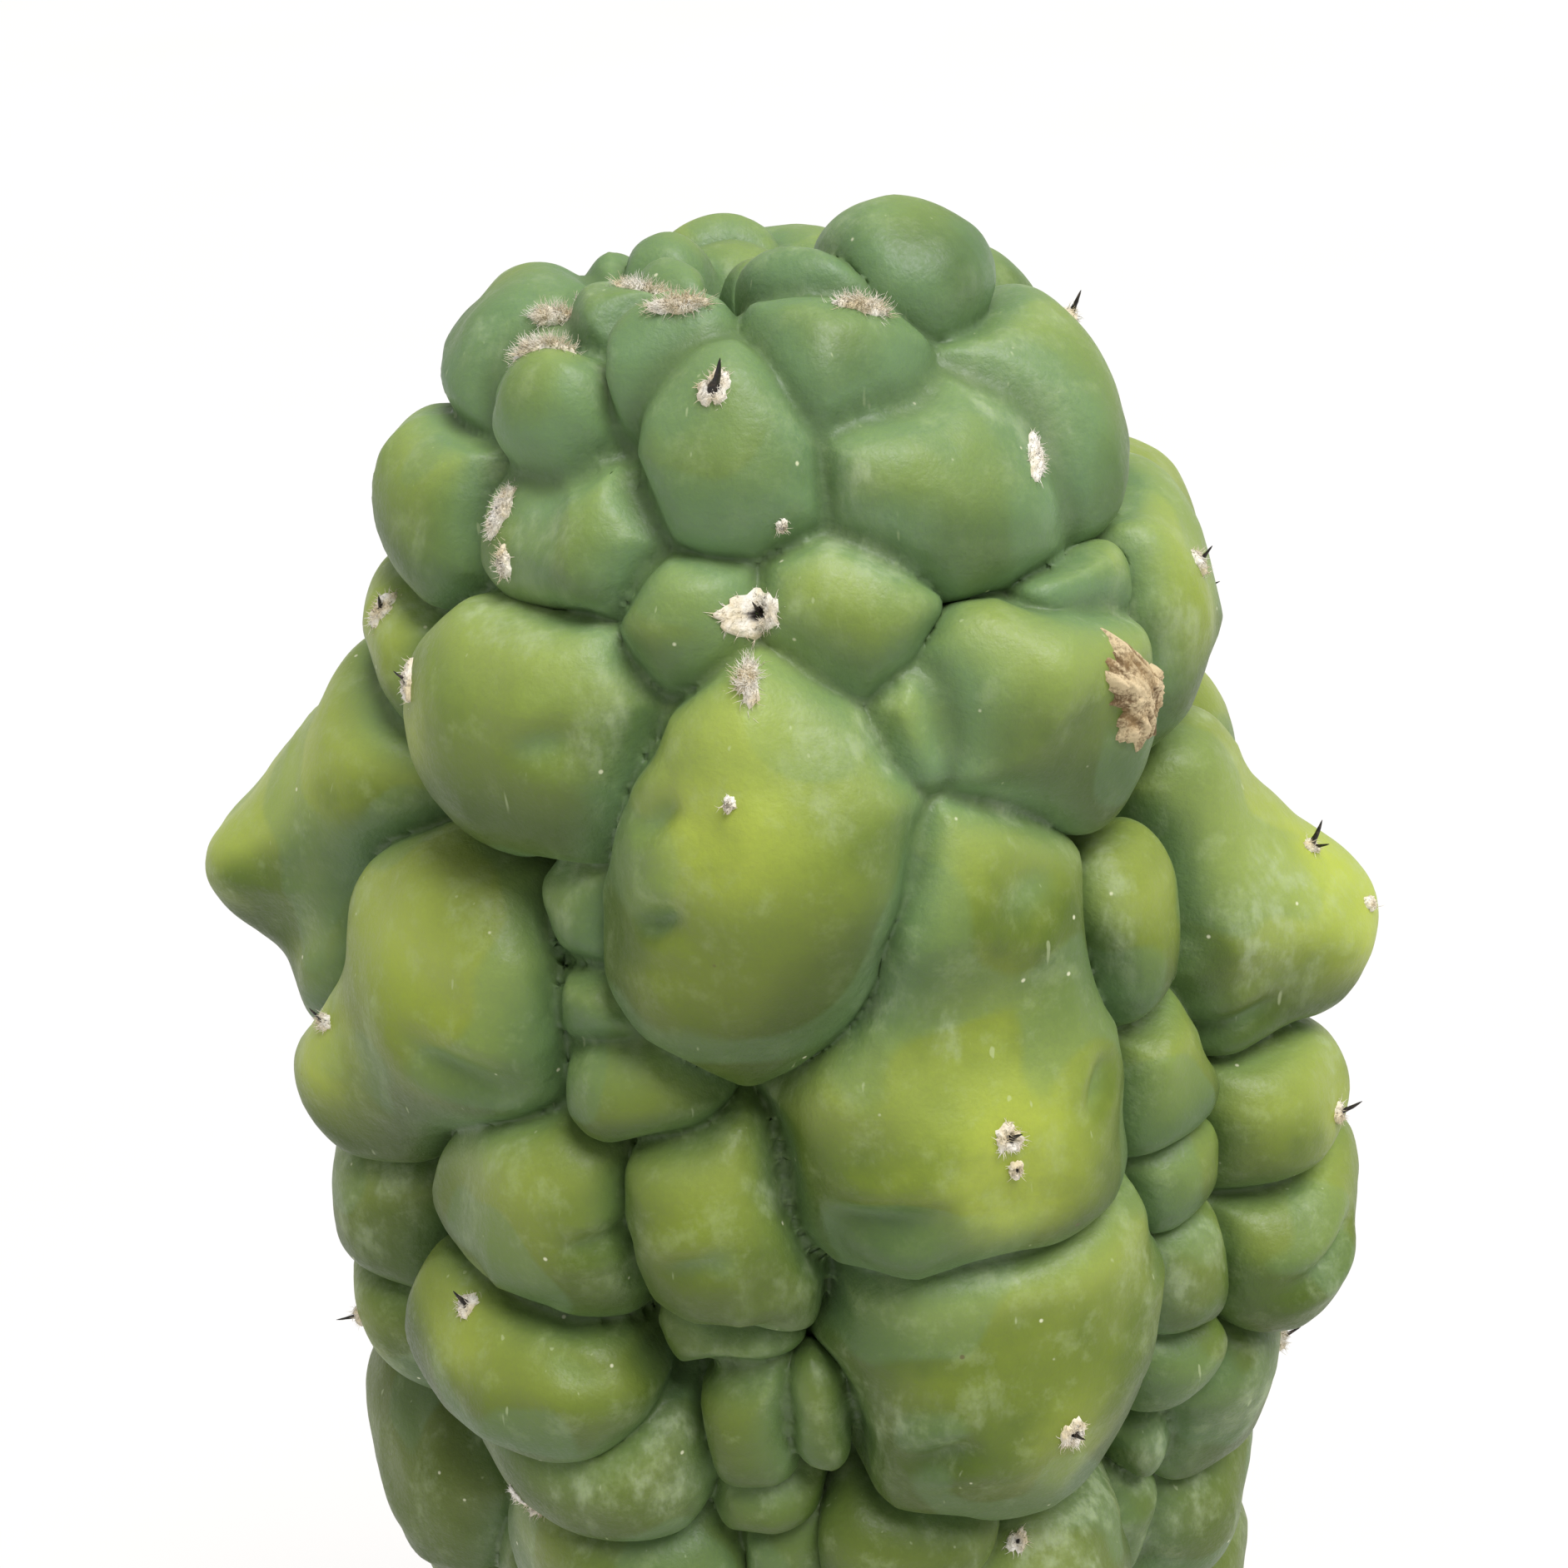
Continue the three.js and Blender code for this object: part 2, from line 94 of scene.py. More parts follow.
def skin_frame(azimuth, down, proud=0.0, droop=0.0):
    """A spot on the crest line: its place, and its outward, sideways and upward directions."""
    angle, lean, tip = math.radians(azimuth), crest_lean(down), math.radians(-droop)
    side = np.array([math.cos(angle), math.sin(angle), 0.0])
    away = np.array([math.sin(angle), -math.cos(angle), 0.0])
    sky = np.array([0.0, 0.0, 1.0])
    out = away * math.cos(lean) + sky * math.sin(lean)
    spot = away * float(crest_radius(down)) + sky * (STEM_TOP - down) + out * proud
    up = np.cross(out, side)
    face = out * math.cos(tip) + up * math.sin(tip)
    rise = up * math.cos(tip) - out * math.sin(tip)
    return spot, face, side, rise


print("stem from", SOIL_TOP, "to", STEM_TOP, "mm")

# %% [markdown]
# ## The tubercles
# Each row is one swelling: azimuth in degrees from the front (positive to the right), how far
# down from the tip, half its width and half its height on the skin, how proud it stands, how
# many degrees its face droops and, for a few, how much it narrows towards its ends. Most
# tubercles are one swelling, and those in square brackets are several that grew together. The
# front is listed one by one, because each tubercle there has its own character. Below and behind,
# the same growth repeats: eight ribs, and a chain of small tubercles in each valley between
# them, with a repeatable scatter in their sizes.

# %% The listed tubercles
CROWN = [
    (5, 0.02, 7, 7, -2, 0), (-95, 0.5, 6, 6, -2, 0), (-150, 0.6, 6, 6, -7, 0),
    (-60, 0.8, 6, 6, -1, 0), (-56, 2.6, 8, 7, 0, 0), (-100, 4, 8, 7, -2, 0),
    (-8, 2.6, 6, 5, -1.5, 0), (14, 1.0, 9, 8, 2, 0),
    [(38, 0.9, 6, 7.5, 2.2, 0), (48, 1.1, 5.5, 6.5, 1.8, 0)],
    (125, 8, 9, 8, -4, 0), (-160, 9, 9, 8, -4, 0), (-85, 10.5, 14.5, 12, 3, 0),
    (-68, 10, 10, 9, 1, 0), (-50, 13.5, 10, 9, 2, 5), (-24, 5.5, 10, 9.5, 1, 0),
    (11, 4.8, 12, 10, 2, 0), (51, 12.5, 15.5, 14, 0.5, 0),
    (140, 34, 10, 9, -7, 0), (-175, 18, 14, 12, -2, 0), (-128, 18, 15, 12, -3, 0),
]
LEFT_RIBS = [
    (-42, 22, 15.5, 11, 0.5, 5), (-76, 27, 14, 13, 3, 5), (-80, 46, 13, 12, 1, 5),
    (-42, 45, 19, 17, 2, 10),
    [(-83, 71, 16, 21, 3, 14), (-88, 87, 11, 12, 16, 26), (-80, 99, 12, 12, 4, 20)],
    [(-54, 85, 19, 22, 2, 8), (-69, 103, 12, 11, 4, 8)],
    (-38, 103, 14.5, 17.5, -0.5, 0),
    (-38, 127, 16.5, 10, 2, 10), (-32, 140, 17, 13, -1, 5), (-70, 121, 14, 14, -1, 0),
    (-68, 143, 13, 12, -1, 0),
]
FRONT_RIB = [
    [(-18, 12.6, 8.2, 9.6, -0.1, 5), (-8, 12.6, 8.2, 9.6, -0.1, 5)],
    (-17, 27.5, 9.5, 10, 0, 0), (3, 28.8, 10.5, 12, 0.3, 3),
    (-7, 24, 6, 6, -3, 0),
    [(-6.5, 61, 17, 22.5, 2.5, 12, 0.3), (-4, 51, 16, 9, 1, 8), (-6.5, 43, 9, 8, 0, 4),
     (-7, 35, 4, 6, -1, 0), (-15, 68, 9, 8, -2, 8)],
]
RIGHT_RIBS = [
    (26, 16, 16.5, 12.5, 1, 5), (66, 40, 15, 16, 1, 5), (41, 31, 9, 5, -1, 0),
    (31, 45, 18, 16, 2, 10),
    [(18.5, 71, 14, 20, 0, 8), (16, 92, 20, 19, 3, 8), (15, 55, 8, 9, 0.5, 0)],
    [(69, 73, 11, 15, -1, 8), (74, 94, 11, 12, 8.5, 24), (66, 86, 11, 15, 1, 6)],
    (66, 111, 13, 13, 5, 5), (65, 130.5, 15, 12, 7, 10), (58, 154, 14, 17, 1, 5),
    [(21, 115, 19, 18, 1, 8), (20, 135, 17, 15, 0, 12)],
    (8, 152, 11, 9, -2, 0),
]
VALLEYS = [
    (-32, 61, 6, 10, -5, 0), (-26, 41, 5, 5, -4, 0), (-28, 73, 7.5, 6, -4, 0),
    (-24, 80.5, 10, 9, -3, 0),
    [(-14.5, 93, 9.5, 9.5, -3, 0), (-10.5, 104, 10.5, 9.5, -3, 0)],
    (-13, 115, 8, 5, -6, 0), (-10, 127, 6.5, 10, -5, 0), (-2, 126, 4, 7, -5, 0),
    (-10, 143, 7, 7, -7, 0), (14, 41, 8, 9, 0.5, 0), (44, 73, 9, 11, -2, 0),
    (46, 92, 8, 10, -2.5, 0), (45, 106, 6.5, 6, -3.5, 0), (46, 121, 6, 8, -3.5, 0),
    (46, 139, 6, 7, -4, 0), (46, 155, 5, 6, -5, 0),
]
print("hand-placed:", sum(map(len, (CROWN, LEFT_RIBS, FRONT_RIB, RIGHT_RIBS, VALLEYS))))

# %% [markdown]
# A chain of tubercles is closest near the tip, where growth is young, and its steps widen as it
# goes down and in under the soil. Each size takes its scatter from its own stretch of numbers,
# so that a change to one leaves the others alone. Some neighbours on a rib stay joined as one
# body.

# %% The repeated growth below and behind
RIB_AZIMUTHS = [-33, 18, 63, 120, 152, 196, 242, 289]
RIB_STARTS = [168, 168, 180, 56, 38, 34, 38, 174]
RIB_ROWS = [7, 7, 7, 10, 11, 11, 11, 7]
RIB_HALF_WIDTH = 19
VALLEY_AZIMUTHS = [-8, 42, 85, 130, 174, 219, 264, 310]
VALLEY_STARTS = [160, 172, 52, 46, 48, 45, 52, 150]
VALLEY_ROWS = [8, 8, 11, 11, 11, 11, 11, 8]
VALLEY_HALF_WIDTH = 8.5
BURIED = 12.0
STAYS_JOINED = 0.45


def scatter(number):
    """A repeatable number between -1 and 1."""
    wave = math.sin(number * 12.9898 + 4.1414) * 43758.5453
    return 2.0 * (wave - math.floor(wave)) - 1.0


def chain(start, rows):
    """Where each tubercle of a chain sits, and how much of the chain is its own."""
    pitch = (STEM_TOP - SOIL_TOP + BURIED - start) / rows
    for row in range(rows):
        share = row / rows
        yield start + pitch * rows * share**1.12, pitch * max(0.72, 1.12 * share**0.12)


def plain_tubercles():
    """Every rib's chain and every valley's chain, as rows like those above."""
    made, count = [], 0
    for azimuth, start, rows in zip(RIB_AZIMUTHS, RIB_STARTS, RIB_ROWS):
        for down, pitch in chain(start, rows):
            count += 1
            near_tip = min(1.0, float(crest_radius(down)) / CREST_RADIUS + 0.04)
            row = (
                azimuth + 5.5 * scatter(count + 300), down + 0.1 * pitch * scatter(count + 1200),
                RIB_HALF_WIDTH * near_tip * (1 + 0.16 * scatter(count + 600)),
                0.52 * pitch * (1 + 0.18 * scatter(count)), 3.2 * scatter(count + 900), 8,
            )
            if down > start and scatter(count + 1500) > STAYS_JOINED:
                made[-1] = made[-1] + [row]
            else:
                made.append([row])
    for azimuth, start, rows in zip(VALLEY_AZIMUTHS, VALLEY_STARTS, VALLEY_ROWS):
        for down, pitch in chain(start, rows):
            count += 1
            made.append((
                azimuth + 2.5 * scatter(count + 300), down,
                VALLEY_HALF_WIDTH * (1 + 0.15 * scatter(count + 600)),
                0.5 * pitch * (1 + 0.2 * scatter(count)), -6 + 1.5 * scatter(count + 900), 0,
            ))
    return made


TUBERCLES = CROWN + LEFT_RIBS + FRONT_RIB + RIGHT_RIBS + VALLEYS + plain_tubercles()
TUBERCLES = [entry if isinstance(entry, list) else [entry] for entry in TUBERCLES]
print("tubercles in all:", len(TUBERCLES))

# %% [markdown]
# ## The stem's skin
# Fat tubercles that press together meet in sharp, deep creases. Joining hundreds of meshes
# would leave ragged seams, so the skin is found as the zero level of a distance field: every
# tubercle is a rounded pillow whose signed distance is easy to write down, and the nearest one
# wins. Its outline and its profile are each a curve of a power a little over two, which is
# fuller than an ellipse, as swollen flesh is. Where two distances meet, one fillet function
# joins them. OpenVDB then turns the field into one closed mesh.

# %% One pillow's signed distance
OUTLINE_POWER = 2.5
PROFILE_POWER = 2.25
SPREAD = 3.0
LEAST_BULGE, BULGE_SHARE = 7.0, 0.95
ROOM = 7.0


class Pillow:
    """One swelling: a rounded pillow that sits on the crest line and faces outwards."""

    def __init__(self, azimuth, down, half_width, half_height, proud, droop, taper=0.0):
        depth = BULGE_SHARE * min(half_width, half_height) + SPREAD
        self.bulge = max(LEAST_BULGE, depth) + max(0.0, proud)
        spot, self.out, self.side, self.rise = skin_frame(azimuth, down, proud, droop)
        self.centre = spot - self.out * self.bulge
        self.wide, self.tall, self.taper = half_width + SPREAD, half_height + SPREAD, taper
        self.reach = max(self.wide, self.tall, self.bulge) + ROOM

    def local(self, x, y, z):
        """A place as shares of the pillow's half width, half height and bulge."""
        dx, dy, dz = x - self.centre[0], y - self.centre[1], z - self.centre[2]
        across = (dx * self.side[0] + dy * self.side[1] + dz * self.side[2]) / self.wide
        along = (dx * self.rise[0] + dy * self.rise[1] + dz * self.rise[2]) / self.tall
        outward = (dx * self.out[0] + dy * self.out[1] + dz * self.out[2]) / self.bulge
        if self.taper:
            across = across / (1.0 - self.taper * np.minimum(along * along, 1.0))
        return across, along, outward

    def distance(self, x, y, z):
        """The level of the power curves, divided by how fast it grows, is nearly a distance."""
        across, along, outward = (np.abs(part) + 1e-4 for part in self.local(x, y, z))
        n, m = OUTLINE_POWER, PROFILE_POWER
        ac, al = across ** (n - 1), along ** (n - 1)
        outline = (ac * across + al * along) ** (1 / n)
        om, pm = outline ** (m - 1), outward ** (m - 1)
        level = (om * outline + pm * outward) ** (1 / m)
        shared = om / outline ** (n - 1)
        slope = np.sqrt(
            (shared * ac / self.wide) ** 2 + (shared * al / self.tall) ** 2
            + (pm / self.bulge) ** 2
        ) / level ** (m - 1)
        return (level - 1.0) / slope


GROWN_TOGETHER = 9.0


def joined(one, two, width):
    """The nearer of two distances, with a smooth fillet of the given width where they meet."""
    meet = np.maximum(width - np.abs(one - two), 0.0) / width
    return np.minimum(one, two) - meet * meet * width * 0.25


def body_distance(pillows, x, y, z):
    """The distance to one tubercle, its swellings joined by a wide, smooth fillet."""
    total = pillows[0].distance(x, y, z)
    for pillow in pillows[1:]:
        total = joined(total, pillow.distance(x, y, z), GROWN_TOGETHER)
    return total


BODIES = [[Pillow(*row) for row in entry] for entry in TUBERCLES]
print("swellings:", sum(map(len, BODIES)))

# %% [markdown]
# ## The field on a grid
# The grid holds two distances at each place: to the nearest tubercle and to the second nearest.
# Where they are nearly equal, two tubercles press together, so their shoulders are rounded off
# and a thin line is cut between them. The grid is fine down to where the eye stops being close,
# and its layers then spread out, which keeps the build short.

# %% The grid's lines
FINE, COARSE = 0.68, 2.0
FINE_DOWN, SPREADS_OVER = 190.0, 60.0
HEADROOM, UNDER_BUTT = 8.0, 6.0
BUTT = SOIL_TOP - 8.0
SIDES_X, SIDES_Y = (-94.0, 90.0), (-84.0, 84.0)


def stem_levels():
    """Heights of the grid's layers: close together where the stem is seen from near."""
    levels, height = [STEM_TOP + HEADROOM], STEM_TOP + HEADROOM
    while height > BUTT - UNDER_BUTT:
        share = np.clip((STEM_TOP - FINE_DOWN - height) / SPREADS_OVER, 0.0, 1.0)
        height -= FINE + (COARSE - FINE) * share
        levels.append(height)
    return np.array(levels[::-1])


GRID_X = np.arange(*SIDES_X, FINE)
GRID_Y = np.arange(*SIDES_Y, FINE)
GRID_Z = stem_levels()
print("grid lines:", len(GRID_X), len(GRID_Y), len(GRID_Z))

# %% The distances on the grid
FLESH_DEPTH, CORE_TOP = 17.0, 14.0
FAR = 12.0


def core_distance(x, y, z):
    """The plain middle of the stem, which shows only at the bottom of the valleys."""
    down = np.maximum(STEM_TOP - z, 0.0)
    depth = FLESH_DEPTH * np.minimum(1.0, 0.4 + down / 50.0)
    side = np.sqrt(x * x + y * y) - np.maximum(crest_radius(down) - depth, 0.1)
    return np.maximum(side * 0.9, z - (STEM_TOP - CORE_TOP))


def window(axis, low, high):
    """The stretch of a grid's lines between two places."""
    return slice(np.searchsorted(axis, low), np.searchsorted(axis, high))


def stem_field():
    """The nearest and second nearest tubercle's distance, and the core's, at each grid place."""
    x, y, z = GRID_X[:, None, None], GRID_Y[None, :, None], GRID_Z[None, None, :]
    core = np.minimum(core_distance(x, y, z), FAR).astype(np.float32)
    nearest, second = np.full_like(core, FAR), np.full_like(core, FAR)
    for pillows in BODIES:
        where = tuple(
            window(
                axis,
                min(pillow.centre[i] - pillow.reach for pillow in pillows),
                max(pillow.centre[i] + pillow.reach for pillow in pillows),
            )
            for i, axis in enumerate((GRID_X, GRID_Y, GRID_Z))
        )
        here = body_distance(
            pillows, x[where[0]], y[:, where[1]], z[:, :, where[2]]
        ).astype(np.float32)
        one, two = nearest[where], second[where]
        second[where] = np.minimum(two, np.maximum(one, here))
        nearest[where] = np.minimum(one, here)
    return nearest, second, core, z


nearest, second, core, height = stem_field()
print("grid places inside a tubercle:", int((nearest < 0.0).sum()))

# %% Shoulders, creases and the cut at the butt
SHOULDER_DEPTH, SHOULDER_WIDTH = 1.2, 3.0
CREASE_DEPTH, CREASE_WIDTH = 1.5, 1.25
VALLEY_RADIUS = 2.5


def pressed_together(nearest, second, core):
    """Rounds the shoulders between two tubercles and cuts the sharp line where they meet."""
    apart = second - nearest
    shoulder = SHOULDER_DEPTH * np.exp(-((apart / SHOULDER_WIDTH) ** 2))
    crease = CREASE_DEPTH * np.exp(-((apart / CREASE_WIDTH) ** 2))
    lumps = nearest + shoulder + crease
    return joined(lumps, core, VALLEY_RADIUS)


field = np.maximum(pressed_together(nearest, second, core), BUTT - height)
print("grid:", field.shape)

# %% [markdown]
# ## From the field to a mesh
# The zero level is found in grid steps, and each corner is then put back at its true place. A
# few rounds of moving each corner half way to its neighbours iron out the grid's steps. Smooth
# noise in space is made here too: the flesh is never as even as the pillows, and the soil and
# the pot use the same noise later.

# %% Smooth noise in space
def hashed(ix, iy, iz, seed):
    """A repeatable number between -1 and 1 for each whole place in space."""
    mixed = (ix * 374761393 + iy * 668265263 + iz * 2147483647 + seed * 1274126177) & 0xFFFFFFFF
    mixed = ((mixed ^ (mixed >> 13)) * 1274126177) & 0xFFFFFFFF
    return ((mixed ^ (mixed >> 16)) & 0xFFFF) / 32767.5 - 1.0


def wander(points, size, seed):
    """Smooth values between -1 and 1 that change over about the given size, in millimetres."""
    scaled = points / size + 1000.0
    whole = np.floor(scaled).astype(np.int64)
    part = scaled - whole
    part = part * part * part * (part * (part * 6 - 15) + 10)
    total = np.zeros(len(points))
    for corner in range(8):
        bits = [(corner >> axis) & 1 for axis in range(3)]
        weight = np.ones(len(points))
        for axis, bit in enumerate(bits):
            weight *= part[:, axis] if bit else 1.0 - part[:, axis]
        total += weight * hashed(*(whole[:, axis] + bits[axis] for axis in range(3)), seed)
    return total


ONE_PLACE = np.array([[10.0, 20.0, 30.0]])
print("wander at one place:", round(float(wander(ONE_PLACE, 26.0, 1)[0]), 3))

# %% The skin's corners and faces
BAND = 3.0


def stem_surface():
    """The field's zero level, as corners in millimetres and four-sided faces."""
    grid = openvdb.FloatGrid(BAND)
    grid.copyFromArray(np.clip(field, -BAND, BAND).astype(np.float32))
    corners, faces = grid.convertToQuads(0.0)
    steps = [np.arange(len(axis)) for axis in (GRID_X, GRID_Y, GRID_Z)]
    points = np.stack(
        [np.interp(corners[:, i], steps[i], (GRID_X, GRID_Y, GRID_Z)[i]) for i in range(3)],
        axis=1,
    )
    return points, faces.astype(np.int64)


def relaxed(points, faces, rounds):
    """Moves each row half way to the mean of its neighbours, which irons out grid steps."""
    ends = np.concatenate([faces[:, [i, (i + 1) % 4]] for i in range(4)])
    ends = np.concatenate([ends, ends[:, ::-1]])
    count = np.bincount(ends[:, 0], minlength=len(points))[:, None]
    for _ in range(rounds):
        total = np.stack(
            [np.bincount(ends[:, 0], column[ends[:, 1]], len(points)) for column in points.T],
            axis=1,
        )
        points = points + 0.5 * (total / count - points)
    return points


def normals_of(points, faces):
    """Each corner's outward way: the mean of its faces' ways, each weighted by its area."""
    across = points[faces[:, 2]] - points[faces[:, 0]]
    along = points[faces[:, 3]] - points[faces[:, 1]]
    flat = np.cross(across, along)
    total = np.stack(
        [
            sum(np.bincount(faces[:, k], flat[:, i], len(points)) for k in range(4))
            for i in range(3)
        ],
        axis=1,
    )
    return total / np.maximum(np.linalg.norm(total, axis=1, keepdims=True), 1e-9)


skin_points, skin_faces = stem_surface()
skin_points = relaxed(skin_points, skin_faces, 3)
print("skin corners:", len(skin_points))

# %% [markdown]
# ## What each spot of skin knows about itself
# The skin's colour follows its growth. Wax gathers in the creases and on the young crown, where
# nothing rubs it off, and the swollen faces are yellower. The colour also holds painted light and
# shade: light on the tops of the tubercles, shade under them, and shade down the stem and where
# the skin is sunk, which also stands for older skin. So each corner keeps a few plain numbers for
# the material: how close it is to a crease, how high it sits on its tubercle and how far it faces
# up, how near its middle, a tone of its tubercle's own, and how far down the stem and how sunk it
# is.

# %% Measure the skin
CREASE_REACH = 2.6
NOWHERE = 30.0


def skin_traits(points):
    """Each corner's nearness to a crease, its tubercle's tone, and its place on the tubercle."""
    nearest, second = np.full(len(points), NOWHERE), np.full(len(points), NOWHERE)
    tone, high, middle = (np.zeros(len(points)) for _ in range(3))
    for index, pillows in enumerate(BODIES):
        near = np.zeros(len(points), bool)
        for pillow in pillows:
            near |= ((points - pillow.centre) ** 2).sum(axis=1) < (1.3 * pillow.reach) ** 2
        rows = np.nonzero(near)[0]
        if not len(rows):
            continue
        here = body_distance(pillows, *points[rows].T)
        one = nearest[rows]
        second[rows] = np.minimum(second[rows], np.maximum(one, here))
        nearest[rows] = np.minimum(one, here)
        won = rows[here < one]
        tone[won] = scatter(index + 50)
        weight, level, centre = 0.0, 0.0, 0.0
        for pillow in pillows:
            across, along, _ = pillow.local(*points[won].T)
            share = np.exp(-0.4 * np.clip(pillow.distance(*points[won].T), -1.0, 20.0))
            weight, level = weight + share, level + share * np.clip(along, -1.3, 1.3)
            centre = centre + share * np.clip(1.0 - (across**2 + along**2), 0.0, 1.0)
        high[won], middle[won] = level / weight, centre / weight
    return np.exp(-(second - nearest) / CREASE_REACH), tone, high, middle


crease, tone, high, middle = skin_traits(skin_points)
print("share of skin in creases:", round(float((crease > 0.3).mean()), 3))

# %% Young, old and facing the sky, which the painted light and shade follow
YOUNG_LENGTH = 62.0
AGE_AND_SHADE_FROM, AGE_AND_SHADE_OVER, MOST_AGE_AND_SHADE = 66.0, 85.0, 0.88
crown = np.clip(1.0 - (STEM_TOP - skin_points[:, 2]) / YOUNG_LENGTH, 0.0, 1.0)
soft = relaxed(np.column_stack([crease, high, middle]), skin_faces, 4)
crease, high, middle = soft.T
facing = relaxed(normals_of(skin_points, skin_faces), skin_faces, 6)[:, 2]
below = np.maximum(STEM_TOP - skin_points[:, 2], 4.0)
leaning = np.sin(np.arctan(CROWN_POWER * crest_radius(below) / below)) * (below < CROWN_LENGTH)
# How high a corner sits and how far it faces up: the colour paints light on the tops and shade
# underneath.
high = np.clip(0.5 * high + 0.9 * (facing - leaning), -1.3, 1.3)
# How far the skin is sunk below the crest line; the colour gets painted shade there.
sunk = float(CREST_RADIUS) - np.hypot(skin_points[:, 0], skin_points[:, 1])
sunk = np.clip((sunk - 4.0) / 12.0, 0.0, 1.0) * (1.0 - crown)
# Painted shade that darkens the skin down the stem and where it is sunk; it also stands for age.
age_and_shade = np.clip((STEM_TOP - AGE_AND_SHADE_FROM - skin_points[:, 2]) / AGE_AND_SHADE_OVER, 0.0, MOST_AGE_AND_SHADE)
age_and_shade = age_and_shade + 0.5 * sunk
print("share of skin past its youth:", round(float((age_and_shade > 0.5).mean()), 3))

# %% [markdown]
# ## Dents, swells and pinched folds
# The flesh is never quite even. Slow pushes give every tubercle its own outline, and swells of
# a centimetre or so make its face uneven, as if it had been pressed by a thumb. Some tubercles
# also carry short folds, where one began to divide and stopped. Each fold's row is its azimuth,
# its distance from the tip, half its length, its turn, its depth and its width.

# %% Push the skin about
FOLDS = [
    (6, 93, 7, 4, 2.2, 2.4), (58, 126, 8, 4, 1.8, 1.6), (57, 92, 6, 8, 1.4, 1.8),
    (-43, 83, 8, -4, 1.5, 2.2), (10, 126, 5, 28, 1.6, 1.8), (-18, 46, 4, 35, 1.6, 1.6),
    (-17, 56, 4, 12, 1.6, 1.6), (-33, 42, 5, 22, 1.2, 1.8), (28, 82, 4, 55, 1.2, 1.8),
    (-26, 101, 5, 10, 1.0, 1.6), (-28, 118, 6, -18, 1.2, 2.0), (24, 60, 6, 6, 0.8, 2.6),
    (-14, 100, 5, 20, 1.2, 1.8), (-9, 111, 6, 12, 1.2, 1.8), (44, 83, 5, 20, 1.0, 1.8),
]
above = np.clip((skin_points[:, 2] - SOIL_TOP) / 20.0, 0.0, 1.0)  # still where it is buried
plain_points = skin_points.copy()
for size, push, seed in ((26.0, 1.7, 1), (11.0, 0.6, 5)):
    moves = np.stack([wander(plain_points, size, seed + i) for i in range(3)], axis=1)
    skin_points = skin_points + moves * push * above[:, None]

skin_normals = normals_of(skin_points, skin_faces)
print("furthest push, mm:", round(float(np.abs(skin_points - plain_points).max()), 2))

# %% Swells and folds
swell = 0.85 * wander(plain_points, 14.0, 21) + 0.36 * wander(plain_points, 6.5, 22)
swell += 0.07 * wander(plain_points, 2.6, 23)
swell += 1.3 * (0.3 - np.abs(wander(plain_points, 17.0, 24)))
for azimuth, down, half, turn, depth, width in FOLDS:
    spot, face, side, rise = skin_frame(azimuth, down)
    lean = math.radians(turn)
    run = side * math.cos(lean) + rise * math.sin(lean)
    cross = rise * math.cos(lean) - side * math.sin(lean)
    away = plain_points - spot
    beside = np.abs(away @ face) < 20
    share = np.clip(1.0 - (away @ run / half) ** 2, 0.0, 1.0)
    offset = away @ cross
    groove = depth * share * np.exp(-((offset / width) ** 2))
    lip = 0.35 * depth * share * np.exp(-(((np.abs(offset) - 2.1 * width) / width) ** 2))
    swell += (lip - groove) * beside
    crease = np.maximum(crease, 0.5 * share * np.exp(-((offset / width) ** 2)) * beside)
skin_points = skin_points + skin_normals * (swell * above)[:, None]
skin_normals = normals_of(skin_points, skin_faces)
print("deepest dent, mm:", round(float(-swell.min()), 2))

# %% [markdown]
# ## From arrays to meshes
# A skin this fine is made fastest from whole arrays: the corners' places first, then the corner
# numbers of every face, then one number per corner for each thing that the skin knows about
# itself. Each piece is then tied to the imported model: the node it replaces is hidden, and it is
# attached to the body it rides on.

# %% Meshes from arrays
def mesh_object(name, points, faces, traits=None):
    """A smooth mesh from corners in millimetres, with a named number on each corner."""
    mesh = bpy.data.meshes.new(name)
    points = np.asarray(points, dtype=np.float32) * MM
    faces = np.asarray(faces, dtype=np.int32)
    mesh.vertices.add(len(points))
    mesh.vertices.foreach_set("co", points.ravel())
    mesh.loops.add(faces.size)
    mesh.loops.foreach_set("vertex_index", faces.ravel())
    mesh.polygons.add(len(faces))
    mesh.polygons.foreach_set("loop_start", np.arange(0, faces.size, faces.shape[1]))
    mesh.update(calc_edges=True)
    for trait, values in (traits or {}).items():
        layer = mesh.attributes.new(trait, "FLOAT", "POINT")
        layer.data.foreach_set("value", np.asarray(values, dtype=np.float32))
    mesh.shade_smooth()
    made = bpy.data.objects.new(name, mesh)
    bpy.context.scene.collection.objects.link(made)
    return made


stem = mesh_object(
    "cactus_stem", skin_points, skin_faces,
    {"crease": crease, "tone": tone, "high": high, "middle": middle, "crown": crown,
     "age_and_shade": np.clip(age_and_shade, 0.0, 1.0)},
)
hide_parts("stem")
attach(stem, "root")
print("stem faces:", len(stem.data.polygons))

# %% [markdown]
# ## Helpers for materials
# Colours are noted as web colours and turned linear by one function. One more function adds a
# node of any kind, sets its properties and connects or fills its sockets, so that each material
# below reads as a short list of what happens to the surface. Sockets go by name or by number.
# Map Range takes the value as 0, the range it comes in as 1 and 2, and the range it leaves in
# as 3 and 4. A colour Mix takes its share as 0 and its two colours as 6 and 7.

# %% Colours and nodes
def linear(code):
    """A web colour as linear red, green, blue and alpha."""
    parts = [int(code[i:i + 2], 16) / 255.0 for i in (1, 3, 5)]
    return tuple(
        part / 12.92 if part <= 0.04045 else ((part + 0.055) / 1.055) ** 2.4 for part in parts
    ) + (1.0,)


